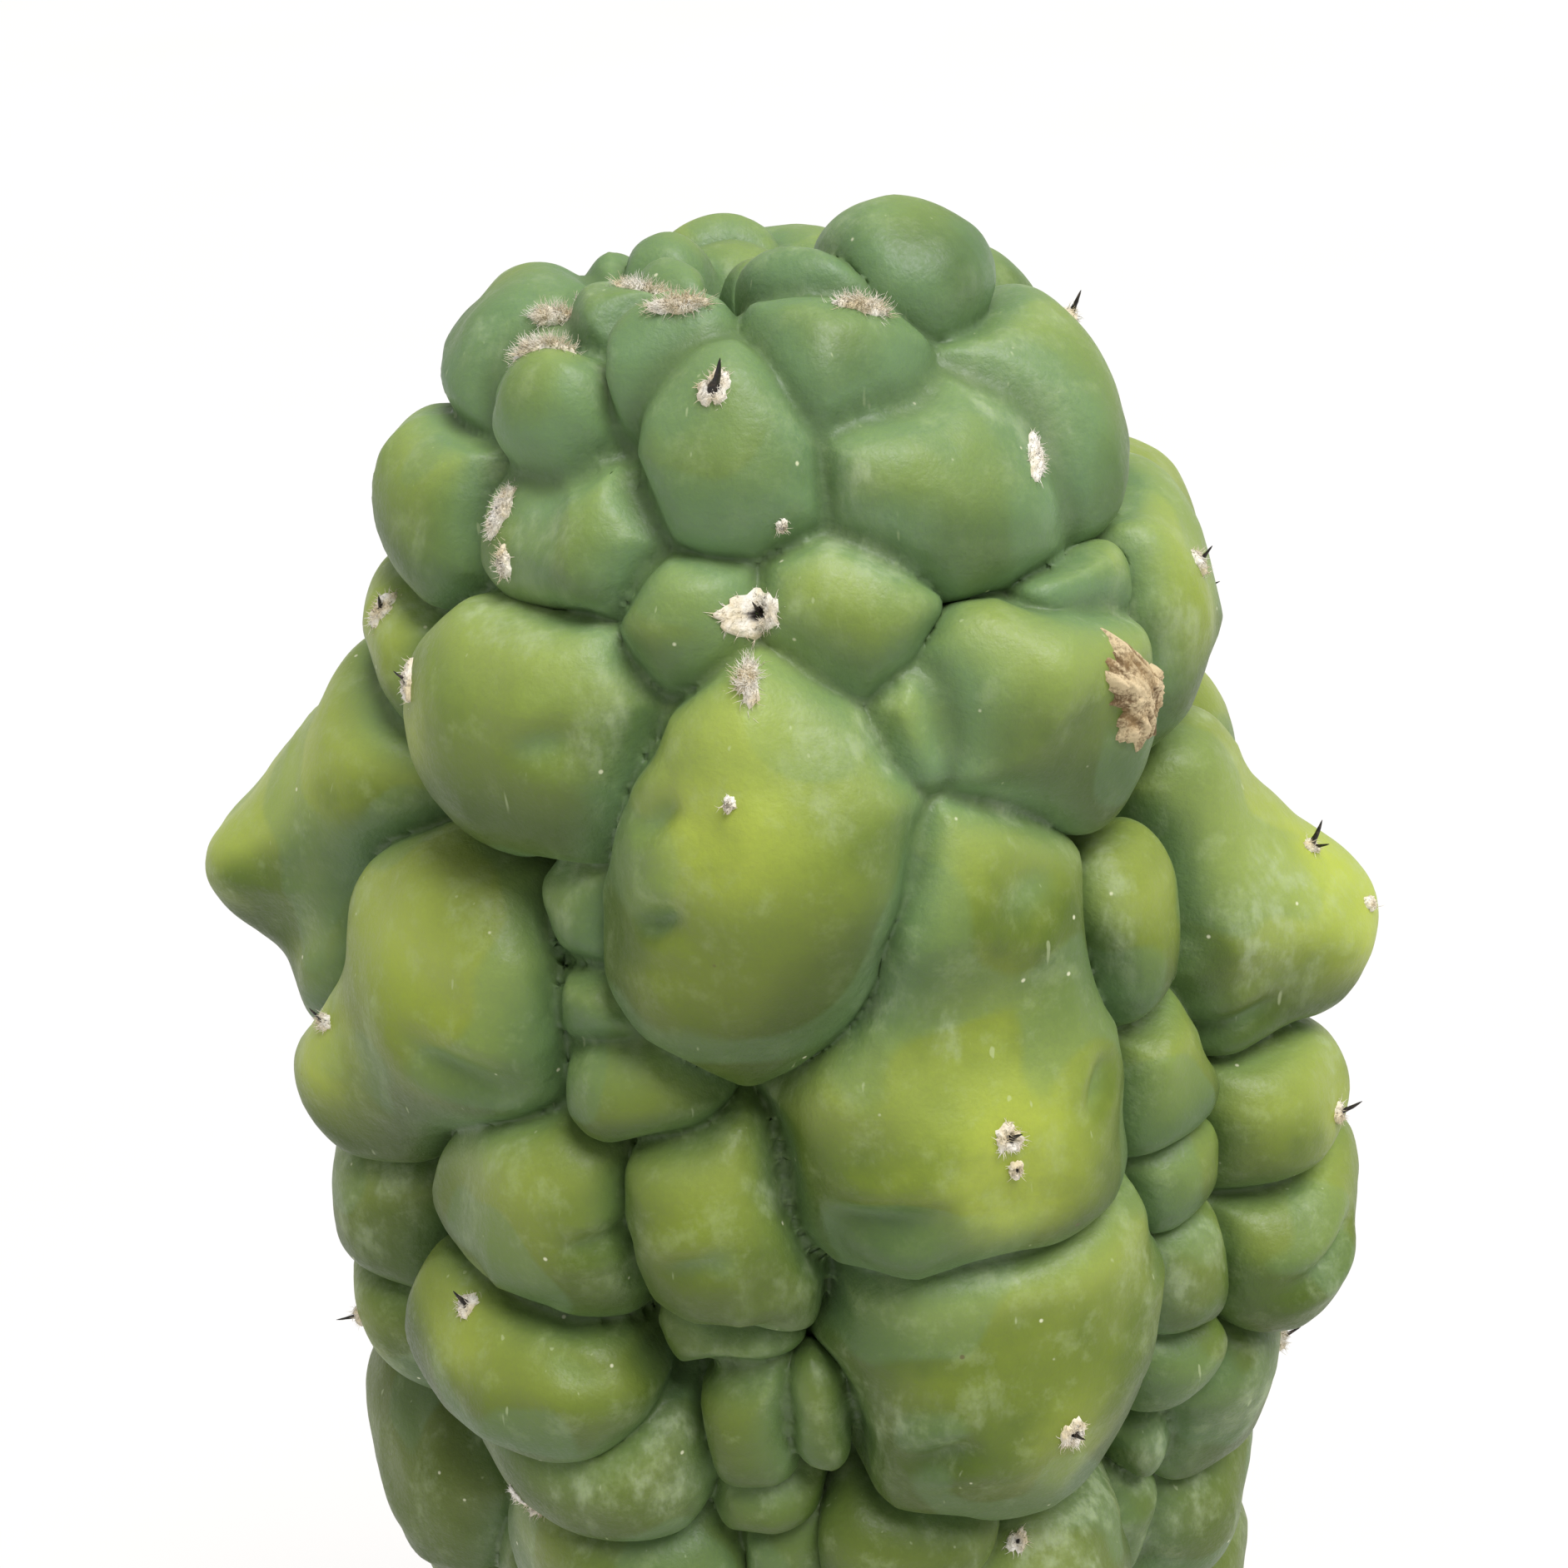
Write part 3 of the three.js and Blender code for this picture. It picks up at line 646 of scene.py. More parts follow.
def add(tree, kind, inputs=None, out=None, **settings):
    """Adds a node, sets its properties, links or fills its sockets and gives its output."""
    made = tree.nodes.new("ShaderNode" + kind)
    for name, value in settings.items():
        setattr(made, name, value)
    for key, value in (inputs or {}).items():
        if isinstance(value, bpy.types.NodeSocket):
            tree.links.new(value, made.inputs[key])
        else:
            made.inputs[key].default_value = linear(value) if isinstance(value, str) else value
    if out:
        return made.outputs[out]
    return next(socket for socket in made.outputs if socket.enabled)


SMOOTH = {"interpolation_type": "SMOOTHSTEP"}
COLOUR = {"data_type": "RGBA"}


def new_material(name):
    """A material with its node tree and its main shader."""
    made = bpy.data.materials.new(name)
    made.use_nodes = True
    tree = made.node_tree
    return made, tree, tree.nodes["Principled BSDF"]


print("leaf green in linear values:", [round(part, 3) for part in linear("#8fa257")])

# %% [markdown]
# ## Material: cactus skin with its wax bloom
# The skin is a tough, satin cuticle over wet flesh. Its own colour comes first: yellow-green on
# the swollen faces. Light and shade are painted over it: lighter on the tops of the tubercles,
# deep green shade underneath, and darker and duller down the stem and in sunken skin, which also
# stands for age. The colour could be drawn in an image, but the growth is already kept as numbers
# on the corners, so the colour follows those. Two slow noises let it drift: one as wide as two
# tubercles, 34 mm, and one of about half a tubercle, 11 mm.

# %% The skin's greens
skin, tree, shader = new_material("cactus_skin_waxy_bloom")
coords = add(tree, "TexCoord", out="Object")
crease_share = add(tree, "Attribute", out="Fac", attribute_name="crease")
crown_share = add(tree, "Attribute", out="Fac", attribute_name="crown")
light_and_shade_height = add(tree, "Attribute", out="Fac", attribute_name="high")
tone_share = add(tree, "Attribute", out="Fac", attribute_name="tone")
middle_share = add(tree, "Attribute", out="Fac", attribute_name="middle")

drift = add(tree, "TexNoise", {"Vector": coords, "Scale": 1 / (34 * MM), "Detail": 2.0})
cloud = add(
    tree, "TexNoise",
    {"Vector": coords, "Scale": 1 / (11 * MM), "Detail": 3.0, "Roughness": 0.55},
)
drifting = add(tree, "MapRange", {0: drift, 1: 0.3, 2: 0.7, 3: -0.35, 4: 0.45}, **SMOOTH)
clouded = add(tree, "MapRange", {0: cloud, 1: 0.3, 2: 0.7, 3: -0.3, 4: 0.3}, **SMOOTH)
toned = add(tree, "Math", {0: tone_share, 1: 0.22}, operation="MULTIPLY")
yellow = add(tree, "Math", {0: drifting, 1: middle_share}, operation="ADD")
yellow = add(tree, "Math", {0: yellow, 1: clouded}, operation="ADD")
yellow = add(tree, "Math", {0: yellow, 1: toned}, operation="ADD")
yellowed = add(tree, "MapRange", {0: yellow, 1: -0.1, 2: 1.15}, **SMOOTH)
green = add(tree, "Mix", {0: yellowed, 6: "#576c1e", 7: "#8c9b35"}, **COLOUR)
# Painted shade: the undersides of the tubercles go deep green, as if out of the light.
painted_underside_shade = add(tree, "MapRange", {0: light_and_shade_height, 1: 0.25, 2: -0.6, 3: 0.0, 4: 0.92}, **SMOOTH)
green = add(tree, "Mix", {0: painted_underside_shade, 6: green, 7: "#394c07"}, **COLOUR)
# Painted light: the tops of the tubercles go pale yellow-green, as if lit from above.
painted_top_light = add(tree, "MapRange", {0: light_and_shade_height, 1: 0.05, 2: 0.6, 3: 0.0, 4: 0.62}, **SMOOTH)
green = add(tree, "Mix", {0: painted_top_light, 6: green, 7: "#b9c660"}, **COLOUR)
# Painted shade: darker and duller down the stem and in sunken skin, which also stands for age.
age_and_shade_share = add(tree, "Attribute", out="Fac", attribute_name="age_and_shade")
painted_low_and_sunk_shade = add(tree, "MapRange", {0: age_and_shade_share, 1: 0.0, 2: 1.0, 3: 0.0, 4: 0.85}, **SMOOTH)
green = add(tree, "Mix", {0: painted_low_and_sunk_shade, 6: green, 7: "#405310"}, **COLOUR)
print("nodes for the greens:", len(tree.nodes))

# %% [markdown]
# A young cactus skin makes a blue-grey wax against the sun. It is whole on the crown and down in
# the creases, where nothing rubs it off, and lies in faint islands of about 19 mm elsewhere.
# Round each areole the skin has ripened to yellow instead.

# %% The wax bloom and the ripe skin
young = add(tree, "Math", {0: crown_share, 1: 0.6}, operation="MULTIPLY")
sheltered = add(tree, "MapRange", {0: crease_share, 1: 0.05, 2: 0.85, 3: 0.0, 4: 0.75}, **SMOOTH)
uneven = add(tree, "MapRange", {0: cloud, 1: 0.25, 2: 0.75, 3: 0.65, 4: 1.15}, **SMOOTH)
unworn = add(tree, "MapRange", {0: age_and_shade_share, 1: 0.2, 2: 0.9, 3: 1.0, 4: 0.65}, **SMOOTH)
bloom = add(tree, "Math", {0: young, 1: sheltered}, operation="ADD")
bloom = add(tree, "Math", {0: bloom, 1: uneven}, operation="MULTIPLY")
bloom = add(tree, "Math", {0: bloom, 1: unworn}, operation="MULTIPLY")
bloom = add(tree, "Clamp", {"Value": bloom, "Max": 0.85})
green = add(tree, "Mix", {0: bloom, 6: green, 7: "#6e8c62"}, **COLOUR)
islands = add(
    tree, "TexNoise",
    {"Vector": coords, "Scale": 1 / (19 * MM), "Detail": 1.0, "Roughness": 0.4},
)
patch = add(tree, "MapRange", {0: islands, 1: 0.545, 2: 0.585, 3: 0.0, 4: 0.3}, **SMOOTH)
green = add(tree, "Mix", {0: patch, 6: green, 7: "#668560"}, **COLOUR)
glow_share = add(tree, "Attribute", out="Fac", attribute_name="glow")
ripe = add(tree, "MapRange", {0: glow_share, 1: 0.1, 2: 1.0, 3: 0.0, 4: 0.7}, **SMOOTH)
for limits in (
    {0: crown_share, 1: 0.7, 2: 0.1}, {0: age_and_shade_share, 1: 0.15, 2: 0.9, 3: 1.0, 4: 0.3},
    {0: cloud, 1: 0.25, 2: 0.7, 3: 0.5, 4: 1.1},
):
    limit = add(tree, "MapRange", limits, **SMOOTH)
    ripe = add(tree, "Math", {0: ripe, 1: limit}, operation="MULTIPLY")
green = add(tree, "Mix", {0: ripe, 6: green, 7: "#b4c04c"}, **COLOUR)
print("nodes with the bloom:", len(tree.nodes))

# %% [markdown]
# Where the wax has been rubbed it is left as pale smears of about 12 mm, taller than they are
# wide and broken up at 2 mm, and as dust in flecks of about 5 mm. Both fade under the painted
# shade of the undersides.

# %% Rubbed wax and dust
stretch = add(tree, "Mapping", {"Vector": coords, "Scale": (1.0, 1.0, 0.55)})
smear = add(
    tree, "TexNoise",
    {"Vector": stretch, "Scale": 1 / (12 * MM), "Detail": 6.0, "Roughness": 0.62},
)
broken = add(
    tree, "TexNoise",
    {"Vector": stretch, "Scale": 1 / (2.2 * MM), "Detail": 4.0, "Roughness": 0.6},
)
wax = add(tree, "MapRange", {0: smear, 1: 0.52, 2: 0.68}, **SMOOTH)
crumbled = add(tree, "MapRange", {0: broken, 1: 0.38, 2: 0.62, 3: 0.25, 4: 1.0}, **SMOOTH)
wax = add(tree, "Math", {0: wax, 1: crumbled}, operation="MULTIPLY")
# The rubbed wax and the dust are dimmed under the painted shade of the undersides.
lit = add(tree, "MapRange", {0: painted_underside_shade, 1: 0.0, 2: 0.9, 3: 1.0, 4: 0.3}, **SMOOTH)
wax = add(tree, "Math", {0: wax, 1: lit}, operation="MULTIPLY")
pale = add(tree, "Math", {0: wax, 1: 0.42}, operation="MULTIPLY")
green = add(tree, "Mix", {0: pale, 6: green, 7: "#b9c6a4"}, **COLOUR)
dust = add(
    tree, "TexNoise",
    {"Vector": coords, "Scale": 1 / (5 * MM), "Detail": 5.0, "Roughness": 0.7},
)
dusty = add(tree, "MapRange", {0: dust, 1: 0.5, 2: 0.72, 3: 0.0, 4: 0.2}, **SMOOTH)
dusty = add(tree, "Math", {0: dusty, 1: lit}, operation="MULTIPLY")
green = add(tree, "Mix", {0: dusty, 6: green, 7: "#b4c296"}, **COLOUR)
print("nodes with the rubbed wax:", len(tree.nodes))

# %% [markdown]
# A fine grain of pores covers it all, with a few pale and dark specks and some long scratches,
# and the creases get painted shade, darkest of all. Pores are really about 0.1 mm across and are
# drawn at 0.5 mm, the specks at 0.3 to 0.4 mm and the scratches at 1.1 mm, so that they show.

# %% Pores, specks, scratches and painted crease shade
grain = add(
    tree, "TexNoise",
    {"Vector": coords, "Scale": 1 / (0.5 * MM), "Detail": 2.0, "Roughness": 0.6},
)
pored = add(tree, "MapRange", {0: grain, 1: 0.3, 2: 0.7, 3: 0.0, 4: 0.16}, **SMOOTH)
green = add(tree, "Mix", {0: pored, 6: green, 7: "#d7e08f"}, **COLOUR, blend_type="SOFT_LIGHT")
SPECKS = ((6.5, 0.34, "#e6e6c4", 0.75), (15, 0.4, "#5b4a2b", 0.7))
for apart_mm, speck_mm, colour, strength in SPECKS:
    cells = add(tree, "TexVoronoi", {"Vector": coords, "Scale": 1.0 / (apart_mm * MM)})
    edge = speck_mm / apart_mm
    dot = add(tree, "MapRange", {0: cells, 1: edge, 2: 0.45 * edge, 3: 0.0, 4: strength}, **SMOOTH)
    green = add(tree, "Mix", {0: dot, 6: green, 7: colour}, **COLOUR)
thin = add(tree, "Mapping", {"Vector": coords, "Scale": (1.0, 1.0, 0.06)})
thin = add(tree, "Mapping", {"Vector": thin, "Rotation": (0.25, 0.35, 0)})
streaks = add(tree, "TexNoise", {"Vector": thin, "Scale": 1 / (1.1 * MM), "Detail": 1.0})
scratch = add(tree, "MapRange", {0: streaks, 1: 0.76, 2: 0.82, 3: 0.0, 4: 0.35}, **SMOOTH)
green = add(tree, "Mix", {0: scratch, 6: green, 7: "#c9d3a6"}, **COLOUR)
# Painted shade: the bottom of each crease is darkened where little light reaches.
painted_crease_shade = add(tree, "MapRange", {0: crease_share, 1: 0.62, 2: 0.95, 3: 0.0, 4: 0.4}, **SMOOTH)
green = add(tree, "Mix", {0: painted_crease_shade, 6: green, 7: "#36471b"}, **COLOUR)
tree.links.new(green, shader.inputs["Base Color"])
print("nodes with the specks:", len(tree.nodes))

# %% [markdown]
# A waxy cuticle has an IOR of about 1.4 and a satin roughness, which wax makes duller. Light
# goes a few millimetres into the wet flesh, green the deepest, and that softens its shadows.
# Relief too fine for the mesh is left to two bumps: the pores, and the wrinkles of about 2.4 mm
# that a thirsty skin has.

# %% Shine and fine relief
matt = add(tree, "MapRange", {0: grain, 1: 0.25, 2: 0.75, 3: 0.4, 4: 0.54}, **SMOOTH)
waxed = add(tree, "Math", {0: wax, 1: 0.12}, operation="MULTIPLY")
matt = add(tree, "Math", {0: matt, 1: waxed}, operation="ADD")
tree.links.new(matt, shader.inputs["Roughness"])
shader.inputs["IOR"].default_value = 1.42
shader.inputs["Subsurface Weight"].default_value = 0.14
shader.inputs["Subsurface Radius"].default_value = (0.0035, 0.0045, 0.0012)
shader.inputs["Subsurface Scale"].default_value = 1.0
pores = add(tree, "Bump", {"Height": grain, "Strength": 0.35, "Distance": 0.00012})
wrinkle = add(
    tree, "TexNoise",
    {"Vector": coords, "Scale": 1 / (2.4 * MM), "Detail": 4.0, "Roughness": 0.6},
)
folds = add(
    tree, "Bump",
    {"Height": wrinkle, "Strength": 0.5, "Distance": 0.0004, "Normal": pores},
)
tree.links.new(folds, shader.inputs["Normal"])
stem.data.materials.append(skin)
print("skin nodes:", len(tree.nodes))

# %% [markdown]
# ## Areoles: pads of felted wool
# Every tubercle should carry an areole, the cushion of felt that spines grow from, but on this
# form most are missing and the rest sit askew. Each pad is a low, ragged ring of felt round a
# dark pit, seated on the skin where it grows, with loose hairs standing up from it. The felt is
# a small mesh laid on the skin, and the hairs are thin tapered blades. Real hairs are about
# 0.02 mm thick. They are drawn at 0.12 mm so that a few hundred can stand for thousands.

# %% Find the seats
SEAT_FLOOR = STEM_TOP - 185.0
OUTSIDE, NEAR_OUT, FELT_OUT = 40.0, 12.0, 7.0
seat_faces = skin_faces[skin_points[skin_faces[:, 0], 2] > SEAT_FLOOR]
used, renumbered = np.unique(seat_faces, return_inverse=True)
skin_tree = BVHTree.FromPolygons(
    skin_points[used].tolist(), renumbered.reshape(seat_faces.shape).tolist()
)


def seat_at(azimuth, down):
    """Where a line drawn inwards meets the skin: the place and its outward, side and up ways."""
    spot, face, side, rise = skin_frame(azimuth, down)
    place = skin_tree.ray_cast(Vector(spot + face * OUTSIDE), Vector(-face))[0]
    around = np.zeros(3)
    for across, along in ((0, 0), (2, 0), (-2, 0), (0, 2), (0, -2)):
        start = Vector(np.array(place) + side * across + rise * along + face * NEAR_OUT)
        hit = skin_tree.ray_cast(start, Vector(-face))
        if hit[0] is not None:
            around += np.array(hit[1])
    out = around / np.linalg.norm(around)
    up = rise - out * (rise @ out)
    up /= np.linalg.norm(up)
    return np.array(place), out, np.cross(up, out), up


def on_skin(start, out):
    """The place on the skin under or over a given one, or the same place if none is near."""
    hit = skin_tree.ray_cast(Vector(start + out * FELT_OUT), Vector(-out))
    if hit[0] is None or hit[3] > FELT_OUT + 6.0:
        return start
    return np.array(hit[0])


print("faces the areoles can sit on:", len(seat_faces))

# %% The felt of one pad
RINGS, AROUND = 12, 36
FELT_ROUGH, RIM_SUNK = 0.5, 0.35
rng = np.random.default_rng(20)


def lobed(angles, seed):
    """An uneven outline: 1 on average, with a few shallow lobes."""
    waves = [(2, 0.14), (3, 0.11), (5, 0.09), (9, 0.08), (14, 0.06)]
    return 1.0 + sum(
        size * np.sin(count * angles + 6.28 * scatter(seed + count)) for count, size in waves
    )


def felt_pad(seat, long, wide, turn, thick, pit, seed):
    """A lobed cushion on the skin: corners, triangles and how deep in the pit each corner is."""
    place, out, side, up = seat
    lean = math.radians(turn)
    run = up * math.cos(lean) + side * math.sin(lean)
    cross = np.cross(run, out)
    angles = np.arange(AROUND) * 2 * math.pi / AROUND
    edge = lobed(angles, seed)
    points, depth = [], []
    for ring in range(RINGS + 1):
        share = ring / RINGS
        for angle, reach in zip(angles, edge):
            flat = place + run * (0.5 * long * share * reach * math.cos(angle))
            flat = flat + cross * (0.5 * wide * share * reach * math.sin(angle))
            ridge = math.sqrt(max(0.0, 1.0 - share ** 2.4))
            hollow = pit * math.exp(-((share / 0.34) ** 2))
            lump = FELT_ROUGH * float(rng.normal()) * ridge * thick * 0.4
            lift = thick * ridge * (1.0 - hollow) + lump - (RIM_SUNK if ring == RINGS else 0.0)
            points.append(on_skin(flat, out) + out * lift)
            depth.append(hollow)
    faces = []
    for ring in range(RINGS):
        for step in range(AROUND):
            a, b = ring * AROUND + step, ring * AROUND + (step + 1) % AROUND
            c, d = a + AROUND, b + AROUND
            faces += [(a, c, d), (a, d, b)]
    return np.array(points), np.array(faces), np.array(depth)


print("corners of one felt pad:", (RINGS + 1) * AROUND)

# %% The loose hairs
HAIR_THICK, HAIR_CURL = 0.12, 0.6


def hairs(roots, ways, lengths, thick, curl):
    """Thin tapered blades that curl as they grow: three sides, five rings."""
    rings, sides = 5, 3
    points, faces = [], []
    for root, way, length in zip(roots, ways, lengths):
        way = way / np.linalg.norm(way)
        bend = rng.normal(size=3) * curl
        one = np.cross(way, (0.3, 0.5, 0.81))
        one /= np.linalg.norm(one)
        two = np.cross(way, one)
        base, spot = len(points), root.copy()
        for ring in range(rings):
            share = ring / (rings - 1)
            width = 0.5 * thick * (1.0 - 0.85 * share)
            for k in range(sides):
                angle = 2 * math.pi * k / sides
                points.append(spot + (one * math.cos(angle) + two * math.sin(angle)) * width)
            spot = spot + way * (length / (rings - 1))
            way = way + bend * 0.3 + rng.normal(size=3) * curl * 0.15
            way /= np.linalg.norm(way)
        for ring in range(rings - 1):
            for k in range(sides):
                a = base + ring * sides + k
                b = base + ring * sides + (k + 1) % sides
                faces += [(a, b, b + sides), (a, b + sides, a + sides)]
        tip = base + (rings - 1) * sides
        faces += [(tip, tip + 1, tip + 2), (base, base + 2, base + 1)]
    return np.array(points), np.array(faces)


def woolly(seat, long, wide, turn, thick, pit, seed, tufts, length):
    """A felt pad with its loose hairs, as one set of corners and triangles."""
    points, faces, depth = felt_pad(seat, long, wide, turn, thick, pit, seed)
    place, out, side, up = seat
    count = 2 * tufts
    rows = rng.integers(4 * AROUND, len(points), count)
    roots = points[rows] - out * 0.15
    away = roots - place
    away = away - np.outer(away @ out, out)
    ways = out * 0.5 + away * 0.35 + rng.normal(size=(count, 3)) * 0.45 - up * 0.15
    reach = length * rng.uniform(0.5, 1.25, count)
    blades, blade_faces = hairs(roots, ways, reach, HAIR_THICK, HAIR_CURL)
    faces = np.concatenate([faces, blade_faces + len(points)])
    depth = np.concatenate([depth, np.full(len(blades), 0.0)])
    return np.concatenate([points, blades]), faces, depth


print("hair thickness, mm:", HAIR_THICK)

# %% [markdown]
# Most of the wool is on young areoles near the tip, and it thins with age. Each row gives the
# azimuth, the distance from the tip, the pad's length and width, its turn, how deep its pit is,
# how many pairs of hairs it keeps, and the lengths of its spines. A pad on the crown has no pit
# and its hairs are longer.

# %% Every areole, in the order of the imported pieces
AREOLES = [
    (-13, 9, 4.6, 3.6, 10, 1.0, 60, (3.6,)), (-3, 19, 1.8, 1.6, 0, 0.2, 16, ()),
    (-6, 27, 5.8, 5.4, 0, 1.15, 130, (2.2,)), (-7, 33, 6, 2.6, 0, 0.0, 150, ()),
    (39, 17, 6.6, 2.8, 38, 0.5, 90, ()), (-50, 22, 7, 2.8, 8, 0.2, 150, ()),
    (-46, 26.5, 4.4, 2.2, -10, 0.4, 60, ()), (-55.5, 42, 5, 3.8, -20, 1.1, 20, (1.6,)),
    (-8.5, 44, 1.9, 1.7, 0, 0.0, 8, ()), (17.5, 84, 4, 3.6, 0, 1.1, 60, (1.8,)),
    (18, 88, 2.4, 2.2, 0, 0.9, 12, ()), (22, 125, 5, 3.6, 0, 1.1, 70, (2.4,)),
    (-35, 150, 5.6, 3.6, 15, 0.9, 90, ()), (-42, 118, 3.6, 2.8, 0, 1.0, 50, (2.6,)),
    (-65, 90.5, 3.6, 2.4, 60, 0.7, 60, (2,)), (73, 86, 2.6, 2.4, 0, 0.3, 8, ()),
    (72.5, 77, 2.6, 2.2, 0, 0.8, 30, (3.2, 2.4)), (79, 9, 2.6, 2.2, 0, 0.6, 30, (2.6,)),
    (63, 35, 3.4, 2.2, 0, 0.7, 40, (2,)), (65, 111, 3.4, 2.4, 0, 0.6, 50, (3,)),
    (62, 148.5, 4.4, 2.6, 0, 0.6, 60, (2.6,)), (-73, 40, 5, 3, 0, 0.7, 60, (2.4,)),
    (-66, 141, 3, 2.4, 0, 0.7, 30, (2.8,)), (20, 152, 3.6, 2.8, 20, 0.8, 50, ()),
    (-50, 1.4, 8, 3, 40, 0.0, 260, ()), (-68, 5, 6, 2.6, 22, 0.0, 200, ()),
    (-50, 8, 7, 2.4, 40, 0.0, 220, ()), (-25, 3.6, 6.4, 2.6, 65, 0.0, 200, ()),
    (15, 3.6, 6.6, 2.4, 105, 0.0, 180, ()), (110, 60, 3.8, 3.2, 0, 0.8, 50, (2.4,)),
    (152, 34, 3.8, 3.2, 0, 0.8, 50, (2.2,)), (-164, 66, 4, 3.4, 0, 0.8, 50, (2.4,)),
    (-120, 44, 3.8, 3, 0, 0.8, 50, (2,)),
]
WORN = 0.88
pads, seats, spine_jobs = [], [], []
for index, (azimuth, down, long, wide, turn, pit, tufts, lengths) in enumerate(AREOLES):
    seat = seat_at(azimuth, down)
    crowned = pit == 0.0 and long > 5
    hair, thick = (1.5, 0.7) if crowned else (1.0, 0.75)
    points, faces, depth = woolly(
        seat, WORN * long, WORN * wide, turn, thick, pit, 40 + index, tufts, hair
    )
    pad = mesh_object(f"areole_wool_{index + 1:02d}", points, faces, {"pit": depth})
    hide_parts(f"wool_pad_{index + 1:02d}")
    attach(pad, "root")
    pads.append(pad)
    seats.append(seat)
    spine_jobs += [(index, order, length) for order, length in enumerate(lengths)]
print("pads:", len(pads), "spines:", len(spine_jobs))

# %% [markdown]
# The skin ripens to yellow round an areole, most of all just below it. The stem's mesh gets one
# more number for that, now that the seats are known.

# %% How near the skin is to an areole
GLOW_REACH, GLOW_BELOW = 8.5, 2.5
glow = np.zeros(len(skin_points))
for place, out, side, up in seats:
    away = skin_points - (place - up * GLOW_BELOW)
    glow = np.maximum(glow, np.exp(-((away ** 2).sum(axis=1) / GLOW_REACH ** 2)))
layer = stem.data.attributes.new("glow", "FLOAT", "POINT")
layer.data.foreach_set("value", glow.astype(np.float32))
print("share of skin near an areole:", round(float((glow > 0.4).mean()), 3))

# %% [markdown]
# ## Spines and corky scars
# The few spines are short, stout and nearly black, often broken. Each is a tapered blade with
# its root in the felt. Two old wounds have healed to cork: a big fibrous one, torn along its
# length, and a small flat one that has gone brown.

# %% The spines
ROOTED = 0.6


def spine_mesh(seat, length, order, seed):
    """A tapered, slightly bent blade, flatter than it is wide, with a swollen root."""
    place, out, side, up = seat
    way = out + up * (0.35 if order == 0 else -0.5) + side * 0.5 * scatter(seed)
    way /= np.linalg.norm(way)
    bend = (up * 0.12 + side * 0.1 * scatter(seed + 9)) * length
    one = np.cross(way, side + out * 0.3)
    one /= np.linalg.norm(one)
    two = np.cross(way, one)
    points, faces, rings, sides = [], [], 9, 8
    for ring in range(rings):
        share = ring / (rings - 1)
        stout = 0.15 if length > 4.0 else 0.09
        width = stout * length * (1.0 - share) ** 0.7 * (1.0 + 0.35 * (share < 0.15)) + 0.03
        middle_line = place + way * (length * share - 0.2) + bend * share * share
        for k in range(sides):
            angle = 2 * math.pi * k / sides
            uneven = 1.0 + 0.14 * scatter(seed * 7 + ring * 3 + k)
            around = one * math.cos(angle) * 1.25 + two * math.sin(angle) * 0.8
            points.append(middle_line + around * width * uneven)
    for ring in range(rings - 1):
        for k in range(sides):
            a, b = ring * sides + k, ring * sides + (k + 1) % sides
            faces += [(a, b, b + sides), (a, b + sides, a + sides)]
    for base in (0, (rings - 1) * sides):
        for k in range(1, sides - 1):
            one_way, other_way = (base, base + k + 1, base + k), (base, base + k, base + k + 1)
            faces.append(one_way if base == 0 else other_way)
    return np.array(points), np.array(faces)


spines = []
for number, (index, order, length) in enumerate(spine_jobs):
    points, faces = spine_mesh(seats[index], length + ROOTED, order, 5 + number)
    made = mesh_object(f"black_spine_{number + 1:02d}", points, faces)
    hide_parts(f"spine_{number + 1:02d}")
    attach(made, "root")
    spines.append(made)
print("spines made:", len(spines))

# %% [markdown]
# Cork splits as it dries, mostly along the way the flesh grew. A scab is a disc of rings laid
# on the skin, as the felt is, and stretched noise raises its fibres and opens its cracks. Each
# scar's row is its azimuth, its distance from the tip, its length, width, turn and thickness.

# %% The corky scars
SCARS = [(41, 42, 13, 9, 32, 3.2), (-66.5, 99.5, 5, 3, 60, 0.7)]
SCAB_SUNK = 0.6


def cork_scar(seat, long, wide, turn, thick, seed):
    """A torn, fibrous scab: ridges along its length, deep cracks and a ragged rim."""
    place, out, side, up = seat
    lean = math.radians(turn)
    run = up * math.cos(lean) - side * math.sin(lean)
    cross = np.cross(run, out)
    rings, around = 44, 120
    angles = np.arange(around) * 2 * math.pi / around
    edge = lobed(angles, seed) * (1.0 + 0.05 * np.sin(23 * angles) + 0.04 * np.sin(41 * angles))
    share = np.linspace(0.0, 1.0, rings + 1)[:, None]
    along = (0.5 * long * share * edge * np.cos(angles)).ravel()
    across = (0.5 * wide * share * edge * np.sin(angles)).ravel()
    flat = np.stack([along, across, np.zeros_like(along)], axis=1)
    ridges = wander(flat * (0.35, 1.5, 1.0), 1.1, seed) * 0.7
    ridges += wander(flat * (0.6, 2.4, 1.0), 0.7, seed + 1) * 0.35
    lumps = wander(flat, 2.6, seed + 2)
    dome = np.sqrt(np.clip(1.0 - share ** 3, 0.0, 1.0)) * np.ones_like(angles)
    lift = thick * dome.ravel() * (0.72 + 0.2 * lumps + 0.2 * ridges) - SCAB_SUNK
    points = []
    for x, y, z in zip(along, across, lift):
        points.append(on_skin(place + run * x + cross * y, out) + out * z)
    faces = []
    for ring in range(rings):
        for step in range(around):
            a, b = ring * around + step, ring * around + (step + 1) % around
            faces += [(a, a + around, b + around), (a, b + around, b)]
    return np.array(points), np.array(faces), ridges + 0.6 * lumps


